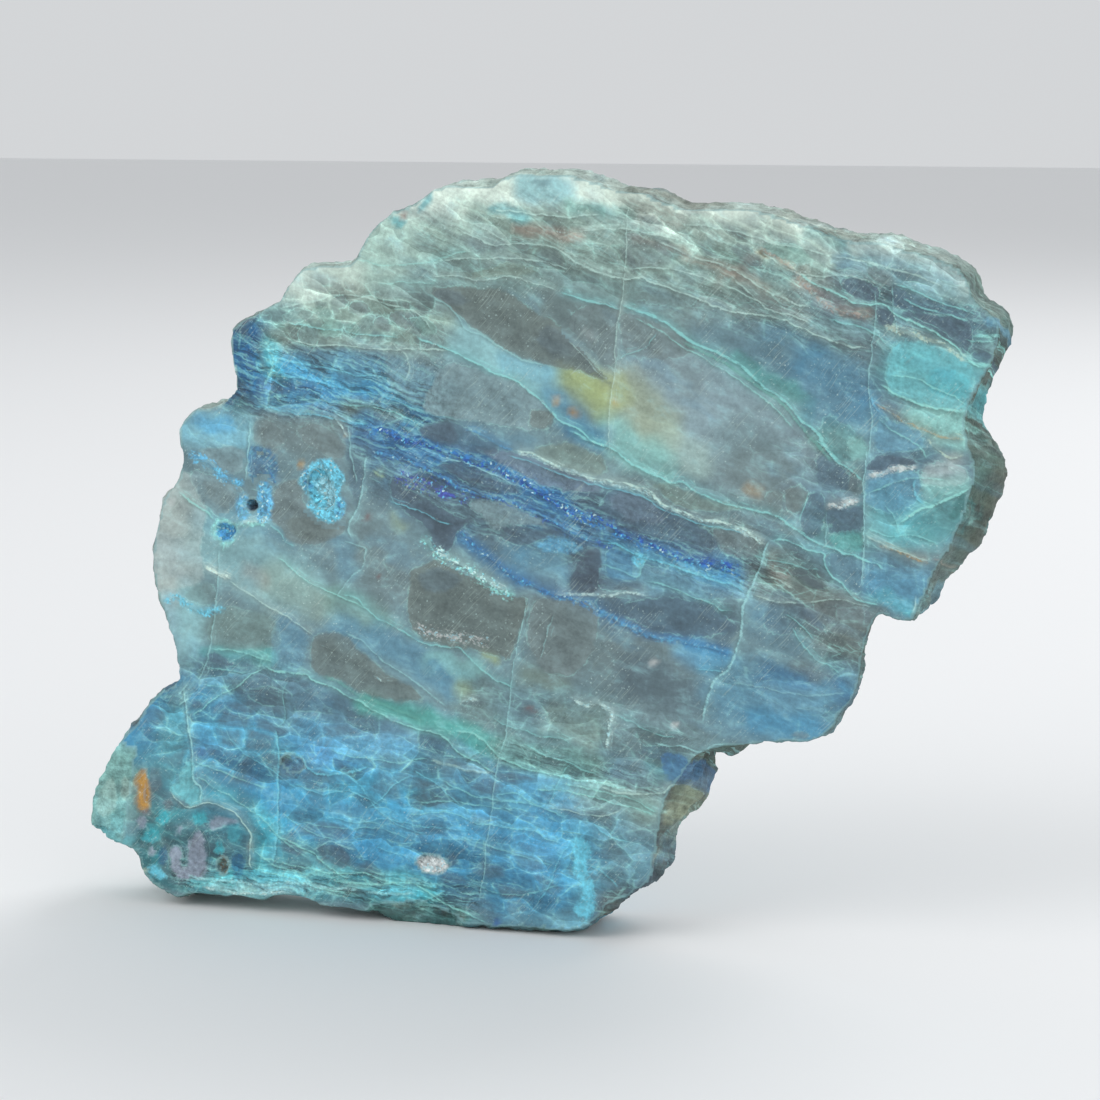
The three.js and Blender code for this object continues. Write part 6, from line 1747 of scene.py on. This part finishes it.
@dataclass
class Slab:
    """The slab's fine surface over its CAD solid.

    Args:
        voxel: Size in millimetres of the mesh's cells.
        crag: Height in millimetres of the rim's roughness.
        flat: How near the plane of the face or back, in millimetres, a point must lie to count as on it
            rather than on the rim.
    """

    voxel: float = 0.48
    crag: float = 0.42
    flat: float = 0.02

    def build(self, node: bpy.types.Object) -> bpy.types.Object:
        """Builds the piece that stands for the CAD node.

        Args:
            node: The CAD node.

        Returns:
            The piece.
        """
        mesh = self._remeshed(node)
        piece = bpy.data.objects.new("chrysocolla_slab", mesh)
        bpy.context.scene.collection.objects.link(piece)
        Markings(mesh, self._shape(mesh, node)).store()
        mesh.shade_smooth()
        mesh.materials.append(StoneFinish().material())
        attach(piece, "root")
        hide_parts("slab")
        log.info("%s: %d faces, %d veins, %d panes", piece.name, len(mesh.polygons), len(VEINS), len(LENSES))
        return piece

    def _remeshed(self, node: bpy.types.Object) -> bpy.types.Mesh:
        """Makes an even fine mesh of the solid.

        Args:
            node: The CAD node.

        Returns:
            The mesh.
        """
        source = bmesh.new()
        source.from_mesh(node.data)
        bmesh.ops.remove_doubles(source, verts=source.verts, dist=WELD * MM)
        bmesh.ops.recalc_face_normals(source, faces=source.faces)
        merged = bpy.data.meshes.new("slab_source")
        source.to_mesh(merged)
        source.free()
        carrier = bpy.data.objects.new("slab_source", merged)
        bpy.context.scene.collection.objects.link(carrier)
        remesh = carrier.modifiers.new("fine", "REMESH")
        remesh.mode = "VOXEL"
        remesh.voxel_size = self.voxel * MM
        remesh.adaptivity = 0.0
        graph = bpy.context.evaluated_depsgraph_get()
        mesh = bpy.data.meshes.new_from_object(carrier.evaluated_get(graph))
        mesh.name = "chrysocolla_slab"
        bpy.data.objects.remove(carrier)
        bpy.data.meshes.remove(merged)
        return mesh

    def _shape(self, mesh: bpy.types.Mesh, node: bpy.types.Object) -> np.ndarray:
        """Fits the mesh to the solid, flattens the faces and roughens the rim.

        Args:
            mesh: The fine mesh.
            node: The CAD node that it follows.

        Returns:
            1 for each vertex on the rim, and 0 on the faces.
        """
        shell = bmesh.new()
        shell.from_mesh(node.data)
        bmesh.ops.remove_doubles(shell, verts=shell.verts, dist=WELD * MM)
        solid = BVHTree.FromBMesh(shell)
        fine = bmesh.new()
        fine.from_mesh(mesh)
        rim = np.ones(len(fine.verts))
        low, high = (Vector(corner) for corner in cad_box)
        for index, vertex in enumerate(fine.verts):
            place, normal, _, _ = solid.find_nearest(vertex.co)
            off_plane = abs(abs(place.y / MM) - BACK_Y)
            rim[index] = 0.0 if abs(normal.y) > 0.999 and off_plane < self.flat else 1.0
            vertex.co = place
        fine.normal_update()
        for index, vertex in enumerate(fine.verts):
            if rim[index] < 0.5:
                continue
            place = vertex.co / MM
            depth = min(place.y - FACE_Y, BACK_Y - place.y)
            fade = min(1.0, 0.25 + max(0.0, depth) / 1.2)
            crag = noise.fractal(place / 1.9, 0.9, 2.1, 4)
            ridge = 0.5 - abs(noise.noise(place / 3.7 + Vector((7, 3, 1))))
            vertex.co += vertex.normal * (self.crag * crag + 0.5 * self.crag * ridge) * fade * MM
            for axis in range(3):
                vertex.co[axis] = min(max(vertex.co[axis], low[axis]), high[axis])
        fine.to_mesh(mesh)
        fine.free()
        shell.free()
        return rim


@dataclass
class Studio:
    """The floor, the soft lights and the camera.

    Args:
        target: Where the camera looks, in millimetres.
        azimuth: The camera's direction to the right of the face, in degrees.
        elevation: Its height above the horizon, in degrees.
        distance: How far it stands from the target, in millimetres.
        lens: Its focal length in millimetres.
    """

    target: tuple[float, float, float] = (4.05, -6.5, 49.7)
    azimuth: float = 16.0
    elevation: float = 9.0
    distance: float = 380.0
    lens: float = 100.0

    def build(self) -> None:
        """Builds the studio."""
        self._floor()
        self._camera()
        self._light("key", (-0.55, -0.75, 0.75), 0.7, 4.0)
        self._light("fill", (0.8, -0.6, 0.35), 0.8, 1.6)
        self._light("rear", (0.35, 0.7, 0.8), 0.6, 3.8)
        world = bpy.data.worlds.new("studio")
        world.use_nodes = True
        world.node_tree.nodes["Background"].inputs["Color"].default_value = (0.86, 0.88, 0.9, 1.0)
        world.node_tree.nodes["Background"].inputs["Strength"].default_value = 0.76
        bpy.context.scene.world = world
        bpy.context.scene.view_settings.view_transform = "Standard"
        log.info("studio: floor, camera and three lights")

    def _floor(self) -> None:
        """Makes the plain pale floor."""
        sheet = bmesh.new()
        bmesh.ops.create_grid(sheet, x_segments=1, y_segments=1, size=3.0)
        mesh = bpy.data.meshes.new("floor")
        sheet.to_mesh(mesh)
        sheet.free()
        floor = bpy.data.objects.new("floor", mesh)
        bpy.context.scene.collection.objects.link(floor)
        tree = ShaderTree("floor")
        tree.surface({"Base Color": (0.82, 0.825, 0.83, 1.0), "Roughness": 0.8})
        mesh.materials.append(tree.material)

    def _camera(self) -> None:
        """Makes the camera at the photograph's viewing angle."""
        azimuth, elevation = math.radians(self.azimuth), math.radians(self.elevation)
        back = Vector((
            math.sin(azimuth) * math.cos(elevation),
            -math.cos(azimuth) * math.cos(elevation),
            math.sin(elevation),
        ))
        data = bpy.data.cameras.new("camera")
        data.lens = self.lens
        data.sensor_width = 36.0
        data.clip_start = 0.01
        camera = bpy.data.objects.new("camera", data)
        bpy.context.scene.collection.objects.link(camera)
        camera.location = (Vector(self.target) + back * self.distance) * MM
        camera.rotation_mode = "QUATERNION"
        camera.rotation_quaternion = (-back).to_track_quat("-Z", "Y")
        bpy.context.scene.camera = camera

    @staticmethod
    def _light(name: str, place: tuple[float, float, float], size: float, power: float) -> None:
        """Makes one square soft light that looks at the slab.

        Args:
            name: The light's name.
            place: Where it stands, in metres.
            size: The side of the square in metres.
            power: Its power in watts.
        """
        data = bpy.data.lights.new(name, "AREA")
        data.size = size
        data.energy = power
        light = bpy.data.objects.new(name, data)
        bpy.context.scene.collection.objects.link(light)
        light.location = place
        towards = Vector((0.0, 0.0, 0.045)) - Vector(place)
        light.rotation_mode = "QUATERNION"
        light.rotation_quaternion = towards.to_track_quat("-Z", "Y")


def main() -> None:
    """Builds the slab and the studio."""
    logging.basicConfig(level=logging.INFO, format="%(name)s: %(message)s")
    Slab().build(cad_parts["slab"])
    Studio().build()


if __name__ == "__main__":
    main()
